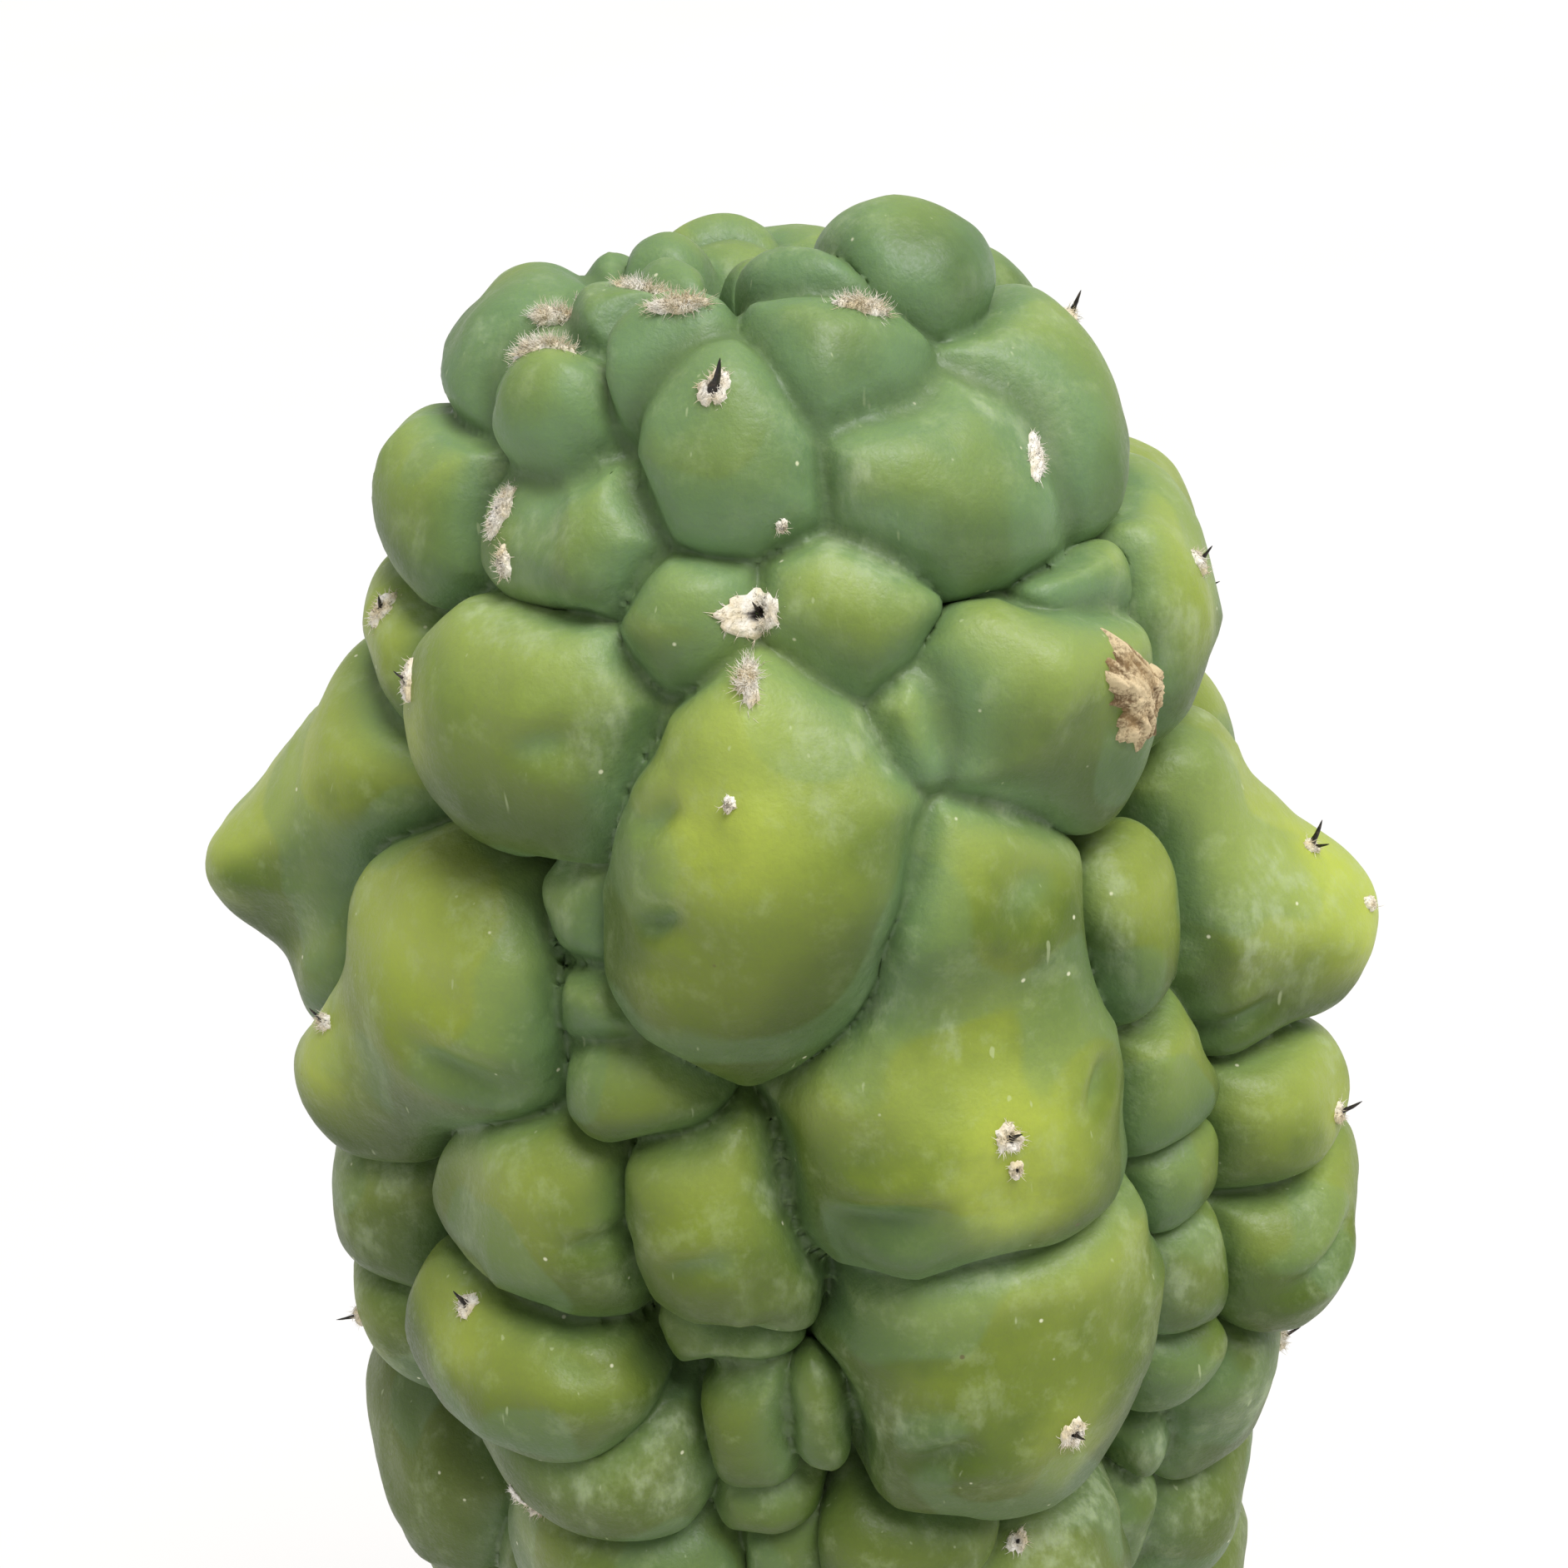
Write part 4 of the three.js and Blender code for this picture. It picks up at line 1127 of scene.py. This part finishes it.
scars = []
for number, (azimuth, down, long, wide, turn, thick) in enumerate(SCARS):
    seat = seat_at(azimuth, down)
    points, faces, ridges = cork_scar(seat, long, wide, turn, thick, 70 + number)
    made = mesh_object(f"corky_scar_{number + 1}", points, faces, {"ridge": ridges})
    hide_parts(f"cork_scar_{number + 1}")
    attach(made, "root")
    scars.append(made)
print("scars:", len(scars))

# %% [markdown]
# ## Material: matted areole felt
# Felt is a mat of fine hairs, so it is rough, has a slight sheen, and takes its colour from the
# dirt it holds: cream outside, and dark in the pit where the spine stood. Its tufts are really
# finer than 0.1 mm and are drawn at 0.45 mm so that they show.

# %% The felt
wool, tree, shader = new_material("areole_felt_matted")
coords = add(tree, "TexCoord", out="Object")
tuft = add(
    tree, "TexNoise",
    {"Vector": coords, "Scale": 1 / (0.45 * MM), "Detail": 3.0, "Roughness": 0.6},
)
stains = add(tree, "TexNoise", {"Vector": coords, "Scale": 1 / (2.2 * MM), "Detail": 3.0})
stained = add(tree, "MapRange", {0: stains, 1: 0.3, 2: 0.7}, **SMOOTH)
tint = add(tree, "Mix", {0: stained, 6: "#fffaf0", 7: "#e2d2ae"}, **COLOUR)
tufted = add(tree, "MapRange", {0: tuft, 1: 0.5, 2: 0.8, 3: 0.0, 4: 0.35}, **SMOOTH)
tint = add(tree, "Mix", {0: tufted, 6: tint, 7: "#9a8058"}, **COLOUR)
pit_share = add(tree, "Attribute", out="Fac", attribute_name="pit")
pitted = add(tree, "MapRange", {0: pit_share, 1: 0.3, 2: 0.75}, **SMOOTH)
tint = add(tree, "Mix", {0: pitted, 6: tint, 7: "#2b211b"}, **COLOUR)
tree.links.new(tint, shader.inputs["Base Color"])
shader.inputs["Roughness"].default_value = 0.95
shader.inputs["Sheen Weight"].default_value = 0.3
bump = add(tree, "Bump", {"Height": tuft, "Strength": 0.8, "Distance": 0.0003})
tree.links.new(bump, shader.inputs["Normal"])
for pad in pads:
    pad.data.materials.append(wool)
print("felt nodes:", len(tree.nodes))

# %% [markdown]
# ## Material: weathered spine horn
# A spine is dead horn. It is nearly black and a little glossy while it is whole, and greyer and
# duller where the weather has split its fibres, which are drawn at 0.5 mm so that they show.

# %% The horn
horn, tree, shader = new_material("spine_horn_weathered")
coords = add(tree, "TexCoord", out="Object")
streak = add(
    tree, "TexNoise",
    {"Vector": coords, "Scale": 1 / (0.5 * MM), "Detail": 3.0, "Roughness": 0.6},
)
bleached = add(tree, "MapRange", {0: streak, 1: 0.45, 2: 0.8}, **SMOOTH)
tint = add(tree, "Mix", {0: bleached, 6: "#17120f", 7: "#584a3e"}, **COLOUR)
matt = add(tree, "MapRange", {0: streak, 1: 0.3, 2: 0.7, 3: 0.38, 4: 0.62}, **SMOOTH)
tree.links.new(tint, shader.inputs["Base Color"])
tree.links.new(matt, shader.inputs["Roughness"])
bump = add(tree, "Bump", {"Height": streak, "Strength": 0.5, "Distance": 0.0001})
tree.links.new(bump, shader.inputs["Normal"])
for made in spines:
    made.data.materials.append(horn)
print("horn nodes:", len(tree.nodes))

# %% [markdown]
# ## Materials: dry cork
# A wound heals with cork, which is dead, dry and matt: pale on the ridges and brown in the
# cracks. The mesh knows its own ridges, so the colour follows them. Cork cells are far too
# small to see, and their crumbs are drawn at 0.4 mm. Dirt lies on them in patches of 3 mm. The
# big scar is fresh and pale and the small one is old, so each has a pair of colours.

# %% The two corks
cork_looks = [
    ("cork_scar_torn_dry", "#e3cda4", "#7a6242"), ("cork_scar_flat_brown", "#7d5f38", "#3f2c19"),
]
for made, (name, ridge_colour, crack_colour) in zip(scars, cork_looks):
    cork, tree, shader = new_material(name)
    coords = add(tree, "TexCoord", out="Object")
    crumb = add(
        tree, "TexNoise",
        {"Vector": coords, "Scale": 1 / (0.4 * MM), "Detail": 4.0, "Roughness": 0.65},
    )
    ridge_share = add(tree, "Attribute", out="Fac", attribute_name="ridge")
    crumbly = add(tree, "MapRange", {0: crumb, 1: 0.3, 2: 0.7, 3: -0.45, 4: 0.45}, **SMOOTH)
    worn = add(tree, "Math", {0: ridge_share, 1: crumbly}, operation="ADD")
    raised = add(tree, "MapRange", {0: worn, 1: -0.75, 2: 0.45}, **SMOOTH)
    tint = add(tree, "Mix", {0: raised, 6: crack_colour, 7: ridge_colour}, **COLOUR)
    dirt = add(tree, "TexNoise", {"Vector": coords, "Scale": 1 / (3.0 * MM), "Detail": 3.0})
    dirty = add(tree, "MapRange", {0: dirt, 1: 0.45, 2: 0.7, 3: 0.0, 4: 0.55}, **SMOOTH)
    tint = add(tree, "Mix", {0: dirty, 6: tint, 7: "#a88a5c"}, **COLOUR)
    tree.links.new(tint, shader.inputs["Base Color"])
    shader.inputs["Roughness"].default_value = 0.9
    bump = add(tree, "Bump", {"Height": crumb, "Strength": 0.9, "Distance": 0.0003})
    tree.links.new(bump, shader.inputs["Normal"])
    made.data.materials.append(cork)
print("cork nodes:", len(tree.nodes))

# %% [markdown]
# ## Gritty soil
# Cacti of this kind are grown in a sharp, open mix: some dark loam and a lot of grit, so that
# water runs straight through. It fills the pot up to its headspace, so the pot's own wall gives
# its width. The bed is rings of corners whose heights roll and crumble, a little higher where
# the stem was planted.

# %% The soil's bed
BASE_RADIUS, FLARE, WALL = 75.0, 40.0, 9.0
STEM_HOLE, MOUND = 30.0, 2.2
BED_DEPTH, PULLED_IN = 12.0, 2.0


def wall_radius(height):
    """The radius of the outside of the pot's tapering wall."""
    return BASE_RADIUS + FLARE * height / POT_RIM


WALL_INSIDE = wall_radius(SOIL_TOP) - WALL - 0.3


def bed_height(x, y):
    """The height of the soil's surface at a place."""
    flat = np.stack([x, y, np.zeros_like(x)], axis=1)
    rolling = 1.1 * wander(flat, 24.0, 61) + 0.7 * wander(flat, 7.0, 62)
    gritty = 0.55 * wander(flat, 2.6, 63) + 0.35 * wander(flat, 1.3, 64)
    mound = MOUND * np.clip(1.0 - (np.hypot(x, y) - 60.0) / 45.0, 0.0, 1.0)
    return SOIL_TOP + rolling + gritty + mound - 0.8


def soil_bed():
    """Rings of corners from inside the stem's foot out to the wall, then down it and across."""
    rings, around = 78, 640
    radii = np.linspace(STEM_HOLE, WALL_INSIDE, rings)
    angles = np.arange(around) * 2 * math.pi / around
    points = []
    for radius in radii:
        x, y = radius * np.cos(angles), radius * np.sin(angles)
        points.append(np.stack([x, y, bed_height(x, y)], axis=1))
    for radius in (WALL_INSIDE - PULLED_IN, STEM_HOLE):
        low = np.stack([radius * np.cos(angles), radius * np.sin(angles)], axis=1)
        points.append(np.column_stack([low, np.full(around, SOIL_TOP - BED_DEPTH)]))
    total, faces = len(points), []
    step = np.arange(around)
    onward = (step + 1) % around
    for ring in range(total):
        a, b = ring * around, ((ring + 1) % total) * around
        faces.append(np.stack([a + step, b + step, b + onward, a + onward], axis=1))
    return np.concatenate(points), np.concatenate(faces)


bed_points, bed_faces = soil_bed()
print("soil corners:", len(bed_points))

# %% [markdown]
# Over the bed lie 2,600 stones, half sunk in it and most of them small. Pumice is cream and
# pitted, lava is red-brown, and the granite grit is grey. The stones are small bent balls, made
# together in one mesh, and each keeps one random number, which picks its rock in the material.

# %% The stones
STONE_COUNT, LEAST_STONE, BIGGEST_STONE = 2600, 0.8, 3.6
STONES_FROM, MOSTLY_SMALL = 58.0, 2.6
BALL = bmesh.new()
bmesh.ops.create_icosphere(BALL, subdivisions=2, radius=1.0)
BALL_POINTS = np.array([list(corner.co) for corner in BALL.verts])
BALL_FACES = np.array([[corner.index for corner in face.verts] for face in BALL.faces])
BALL.free()


def stones(count, low, high, inner, seed):
    """Bent, turned and half-sunk stones between the stem and the wall."""
    local = np.random.default_rng(seed)
    points, faces, tones = [], [], []
    for number in range(count):
        size = low + (high - low) * local.random() ** MOSTLY_SMALL
        angle = 2 * math.pi * local.random()
        reach = math.sqrt(local.uniform(inner**2, (WALL_INSIDE - size - 0.5) ** 2))
        x, y = reach * math.cos(angle), reach * math.sin(angle)
        turn = local.uniform(0, 6.28)
        spin = Matrix.Rotation(turn, 3, Vector(local.normal(size=3)).normalized())
        shape = BALL_POINTS * local.uniform(0.6, 1.0, 3)
        shape = shape * (1.0 + 0.16 * wander(BALL_POINTS + number * 3.7, 0.9, 71))[:, None]
        shape = (shape * size) @ np.array(spin)
        ground = float(bed_height(np.array([x]), np.array([y]))[0])
        shape = shape + (x, y, ground + size * local.uniform(-0.15, 0.35))
        faces.append(BALL_FACES + number * len(BALL_POINTS))
        points.append(shape)
        tones.append(np.full(len(shape), local.random()))
    return np.concatenate(points), np.concatenate(faces), np.concatenate(tones)


stone_points, stone_faces, stone_tones = stones(
    STONE_COUNT, LEAST_STONE, BIGGEST_STONE, STONES_FROM, 81
)
bed_triangles = np.concatenate([bed_faces[:, [0, 1, 2]], bed_faces[:, [0, 2, 3]]])
soil = mesh_object(
    "gritty_soil",
    np.concatenate([bed_points, stone_points]),
    np.concatenate([bed_triangles, stone_faces + len(bed_points)]),
    {"stone": np.concatenate([np.full(len(bed_points), -1.0), stone_tones])},
)
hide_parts("potting_soil")
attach(soil, "root")
print("soil triangles:", len(soil.data.polygons))

# %% [markdown]
# ## Material: loam and mixed grit
# One material serves the bed and the stones. The stones' number picks pumice, lava, granite or
# bark, and the bed, whose number is below zero, gets dark loam with crumbs of about 1.4 mm.
# The pits in the rock are really finer than the 0.6 mm that they are drawn at, so that they
# show, and all of it is dry, so it is matt.

# %% The soil material
loam, tree, shader = new_material("loam_with_pumice_and_lava_grit")
coords = add(tree, "TexCoord", out="Object")
stone = add(tree, "Attribute", out="Fac", attribute_name="stone")
crumbs = add(
    tree, "TexNoise",
    {"Vector": coords, "Scale": 1 / (1.4 * MM), "Detail": 5.0, "Roughness": 0.65},
)
crumbled = add(tree, "MapRange", {0: crumbs, 1: 0.35, 2: 0.7}, **SMOOTH)
dirt = add(tree, "Mix", {0: crumbled, 6: "#3b2d22", 7: "#6f5a44"}, **COLOUR)
rock = "#cbbfa8"
for low, colour in ((0.40, "#7c4a37"), (0.66, "#8f8b84"), (0.88, "#4a3524")):
    kind_share = add(tree, "MapRange", {0: stone, 1: low, 2: low + 0.04}, **SMOOTH)
    rock = add(tree, "Mix", {0: kind_share, 6: rock, 7: colour}, **COLOUR)
fine = add(
    tree, "TexNoise",
    {"Vector": coords, "Scale": 1 / (0.6 * MM), "Detail": 4.0, "Roughness": 0.7},
)
grimy = add(tree, "MapRange", {0: fine, 1: 0.3, 2: 0.7, 3: 0.0, 4: 0.45}, **SMOOTH)
rock = add(tree, "Mix", {0: grimy, 6: rock, 7: "#4b3b2e"}, **COLOUR, blend_type="MULTIPLY")
dust = add(tree, "TexNoise", {"Vector": coords, "Scale": 1 / (4.0 * MM), "Detail": 2.0})
dusted = add(tree, "MapRange", {0: dust, 1: 0.45, 2: 0.7, 3: 0.0, 4: 0.35}, **SMOOTH)
rock = add(tree, "Mix", {0: dusted, 6: rock, 7: "#6a5642"}, **COLOUR)
is_stone = add(tree, "MapRange", {0: stone, 1: -0.6, 2: -0.3}, **SMOOTH)
ground = add(tree, "Mix", {0: is_stone, 6: dirt, 7: rock}, **COLOUR)
tree.links.new(ground, shader.inputs["Base Color"])
shader.inputs["Roughness"].default_value = 0.93
bump = add(tree, "Bump", {"Height": fine, "Strength": 0.9, "Distance": 0.0005})
tree.links.new(bump, shader.inputs["Normal"])
soil.data.materials.append(loam)
print("soil nodes:", len(tree.nodes))

# %% [markdown]
# ## The clay pot
# The pot is turned on a wheel: a tapering wall, a thick band at the rim, a flat foot and one
# drain hole. Its outline is drawn once, as corners of a radius and a height, and each corner is
# rounded as a sponge leaves it. A Screw modifier could sweep it, but sweeping it here lets the
# wall be pushed about afterwards.

# %% The pot's outline
RIM_RADIUS, BAND_HEIGHT, BAND_STEP, UNDERCUT = 120.0, 40.0, 5.0, 0.8
FLOOR_THICK, DRAIN_RADIUS = 12.0, 12.0


def pot_outline():
    """The pot's section as radius and height, with every corner rounded."""
    band = POT_RIM - BAND_HEIGHT
    under_band = wall_radius(band)
    corners = [
        (DRAIN_RADIUS, 0.0, 0.8), (BASE_RADIUS, 0.0, 2.2), (under_band, band, 1.2),
        (under_band + BAND_STEP, band + UNDERCUT, 2.2), (RIM_RADIUS, POT_RIM, 3.0),
        (wall_radius(POT_RIM) - WALL, POT_RIM, 3.0),
        (wall_radius(FLOOR_THICK) - WALL, FLOOR_THICK, 4.0), (DRAIN_RADIUS, FLOOR_THICK, 0.8),
    ]
    section, count = [], len(corners)
    for index, (radius, height, rounding) in enumerate(corners):
        here = np.array([radius, height])
        onward = corners[(index + 1) % count]
        target = np.array(onward[:2])
        before = np.array(corners[index - 1][:2]) - here
        after = target - here
        start = here + before / np.linalg.norm(before) * rounding
        end = here + after / np.linalg.norm(after) * rounding
        for share in np.linspace(0.0, 1.0, 7):
            bend = (1 - share) ** 2 * start + 2 * share * (1 - share) * here + share**2 * end
            section.append(bend)
        steps = max(2, int(np.linalg.norm(target - end) / 2.0))
        stop = target - after / np.linalg.norm(after) * onward[2]
        for share in np.linspace(0.0, 1.0, steps + 1)[1:-1]:
            section.append(end + (stop - end) * share)
    return np.array(section)


outline = pot_outline()
print("corners of the pot's outline:", len(outline))

# %% [markdown]
# The potter's fingers leave faint rings in the wall, about 7 mm apart, and a hand-thrown wall is
# never perfectly round. Both push the outside in a little, and the foot, which was cut flat,
# stays flat.

# %% Turn the pot
around = 384
RING_DEPTH, RING_TURN, DRAWN_IN = 0.22, 0.9, 0.45
angles = np.arange(around) * 2 * math.pi / around
ring_x, ring_y = np.cos(angles)[:, None], np.sin(angles)[:, None]
pot_points = np.stack(
    [ring_x * outline[:, 0], ring_y * outline[:, 0], np.ones_like(ring_x) * outline[:, 1]], axis=2
).reshape(-1, 3)
outer = np.hypot(pot_points[:, 0], pot_points[:, 1]) > BASE_RADIUS - 2.0
outer &= pot_points[:, 2] > 3.0
thrown = RING_DEPTH * np.sin(pot_points[:, 2] * RING_TURN + angles.repeat(len(outline)))
thrown += 0.35 * wander(pot_points, 38.0, 91) + 0.1 * wander(pot_points, 5.0, 92)
push = (thrown - DRAWN_IN) * outer
radial = pot_points[:, :2] / np.maximum(np.hypot(*pot_points[:, :2].T), 1e-6)[:, None]
pot_points[:, :2] += radial * push[:, None]
row, column = np.meshgrid(np.arange(around), np.arange(len(outline)), indexing="ij")
a = row * len(outline) + column
b = ((row + 1) % around) * len(outline) + column
c = ((row + 1) % around) * len(outline) + (column + 1) % len(outline)
d = row * len(outline) + (column + 1) % len(outline)
pot = mesh_object("terracotta_pot", pot_points, np.stack([a, b, c, d], axis=2).reshape(-1, 4))
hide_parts("clay_pot")
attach(pot, "root")
print("pot faces:", len(pot.data.polygons))

# %% [markdown]
# ## Material: unglazed terracotta
# Fired red clay is matt and slightly sandy. It darkens and lightens in soft clouds of about
# 45 mm, where the kiln was hotter or cooler, and shows fine throwing lines. The lines are drawn
# 1.6 mm apart, and the grains of sand, which are really 0.2 mm, are drawn at 0.8 mm so that
# they show.

# %% The clay's colour
clay, tree, shader = new_material("terracotta_unglazed_fired")
coords = add(tree, "TexCoord", out="Object")
clouds = add(
    tree, "TexNoise",
    {"Vector": coords, "Scale": 1 / (45 * MM), "Detail": 4.0, "Roughness": 0.55},
)
sand = add(
    tree, "TexNoise",
    {"Vector": coords, "Scale": 1 / (0.8 * MM), "Detail": 3.0, "Roughness": 0.6},
)
lines = add(tree, "Mapping", {"Vector": coords, "Scale": (0.03, 0.03, 1.0)})
rings = add(tree, "TexNoise", {"Vector": lines, "Scale": 1 / (1.6 * MM), "Detail": 2.0})
clouded = add(tree, "MapRange", {0: clouds, 1: 0.3, 2: 0.7}, **SMOOTH)
ringed = add(tree, "MapRange", {0: rings, 1: 0.4, 2: 0.7, 3: 0.0, 4: 0.3}, **SMOOTH)
sandy = add(tree, "MapRange", {0: sand, 1: 0.35, 2: 0.7, 3: 0.0, 4: 0.3}, **SMOOTH)
tint = add(tree, "Mix", {0: clouded, 6: "#b0613f", 7: "#c98462"}, **COLOUR)
tint = add(tree, "Mix", {0: ringed, 6: tint, 7: "#a2563a"}, **COLOUR)
tint = add(tree, "Mix", {0: sandy, 6: tint, 7: "#d9a486"}, **COLOUR)
print("clay nodes:", len(tree.nodes))

# %% [markdown]
# Water that passes through the clay leaves its lime behind where it dries, which is near the rim
# and at the foot. So the crust fades in over the top 50 mm and the bottom 35 mm of the pot, and
# breaks up into flakes of about 14 mm.

# %% The lime crust and the relief
height = add(tree, "SeparateXYZ", {0: coords}, out="Z")
near_rim = add(tree, "MapRange", {0: height, 1: 0.15, 2: 0.2, 3: 0.0, 4: 0.7}, **SMOOTH)
near_foot = add(tree, "MapRange", {0: height, 1: 0.035, 2: 0.0, 3: 0.0, 4: 0.6}, **SMOOTH)
limy = add(tree, "Math", {0: near_rim, 1: near_foot}, operation="MAXIMUM")
crust = add(
    tree, "TexNoise",
    {"Vector": coords, "Scale": 1 / (14 * MM), "Detail": 5.0, "Roughness": 0.7},
)
crusted = add(tree, "MapRange", {0: crust, 1: 0.45, 2: 0.68}, **SMOOTH)
limy = add(tree, "Math", {0: limy, 1: crusted}, operation="MULTIPLY")
tint = add(tree, "Mix", {0: limy, 6: tint, 7: "#e2cfbf"}, **COLOUR)
tree.links.new(tint, shader.inputs["Base Color"])
matt = add(tree, "MapRange", {0: sand, 1: 0.3, 2: 0.7, 3: 0.78, 4: 0.9}, **SMOOTH)
tree.links.new(matt, shader.inputs["Roughness"])
grit = add(tree, "Bump", {"Height": sand, "Strength": 0.5, "Distance": 0.0003})
grooves = add(tree, "Bump", {"Height": rings, "Strength": 0.4, "Distance": 0.0005, "Normal": grit})
tree.links.new(grooves, shader.inputs["Normal"])
pot.data.materials.append(clay)
print("clay nodes with the lime:", len(tree.nodes))

# %% [markdown]
# ## The floor
# The plant stands on a wide, plain floor of matt white paper. It is lit brightly enough to read
# as white, so the plant is seen as if cut out. Paper is never one flat tone, so two near whites
# drift over about 400 mm.

# %% The floor
reach = 12.0
floor_mesh = bpy.data.meshes.new("floor")
floor_mesh.from_pydata(
    [(-reach, -reach, 0), (reach, -reach, 0), (reach, reach, 0), (-reach, reach, 0)],
    [], [(0, 1, 2, 3)],
)
floor = bpy.data.objects.new("floor", floor_mesh)
bpy.context.scene.collection.objects.link(floor)
paper, tree, shader = new_material("studio_floor_matt_white")
coords = add(tree, "TexCoord", out="Object")
sheet = add(tree, "TexNoise", {"Vector": coords, "Scale": 1 / (400 * MM), "Detail": 2.0})
tint = add(tree, "Mix", {0: sheet, 6: "#e2e1df", 7: "#e5e4e3"}, **COLOUR)
tree.links.new(tint, shader.inputs["Base Color"])
shader.inputs["Roughness"].default_value = 0.9
floor.data.materials.append(paper)
print("floor nodes:", len(tree.nodes))

# %% [markdown]
# ## The light
# The whole sky is bright and even, as in a white tent, and one broad, soft sun from above and a
# little to one side models the lumps. The wider the sun, the softer the shadow's edge.

# %% The sky and the sun
SKY_STRENGTH, SUN_STRENGTH, SUN_SPREAD = 0.46, 2.95, 34.0
SUN_WAY = (-0.30, 0.22, -1.0)
world = bpy.data.worlds.new("even_sky")
bpy.context.scene.world = world
world.use_nodes = True
world.node_tree.nodes["Background"].inputs["Color"].default_value = linear("#ffffff")
world.node_tree.nodes["Background"].inputs["Strength"].default_value = SKY_STRENGTH
sun_data = bpy.data.lights.new("soft_sun", "SUN")
sun_data.energy = SUN_STRENGTH
sun_data.angle = math.radians(SUN_SPREAD)
sun = bpy.data.objects.new("soft_sun", sun_data)
bpy.context.scene.collection.objects.link(sun)
sun.rotation_mode = "QUATERNION"
sun.rotation_quaternion = Vector(SUN_WAY).to_track_quat("-Z", "Y")
print("sky", SKY_STRENGTH, "sun", SUN_STRENGTH)

# %% [markdown]
# ## The camera
# The camera looks down at the crown from close by, a little tipped to one side. Its pose is
# built from three directions, which is easier to follow than three angles: back from what it
# looks at, to its right, and up.

# %% The camera
LOOK_DOWN, TILT, AWAY = math.radians(32.0), math.radians(2.5), 0.270
AIM_DOWN, AIM_LEFT = 76.0, 3.0
SENSOR, VIEW_HALF = 36.0, 0.384
aim = Vector((-AIM_LEFT * MM, 0.0, (STEM_TOP - AIM_DOWN) * MM))
back = Vector((0.0, -math.cos(LOOK_DOWN), math.sin(LOOK_DOWN)))
right = Vector((1.0, 0.0, 0.0))
up = back.cross(right)
tipped_right = right * math.cos(TILT) - up * math.sin(TILT)
tipped_up = right * math.sin(TILT) + up * math.cos(TILT)
camera_data = bpy.data.cameras.new("camera")
camera = bpy.data.objects.new("camera", camera_data)
bpy.context.scene.collection.objects.link(camera)
pose = Matrix((tipped_right, tipped_up, back)).transposed().to_4x4()
pose.translation = aim + back * AWAY
camera.matrix_world = pose
camera_data.sensor_width = SENSOR
camera_data.lens = 0.5 * SENSOR / VIEW_HALF
camera_data.clip_start = 0.01
bpy.context.scene.camera = camera
bpy.context.scene.view_settings.view_transform = "Standard"
print("camera", AWAY, "m from the crown")
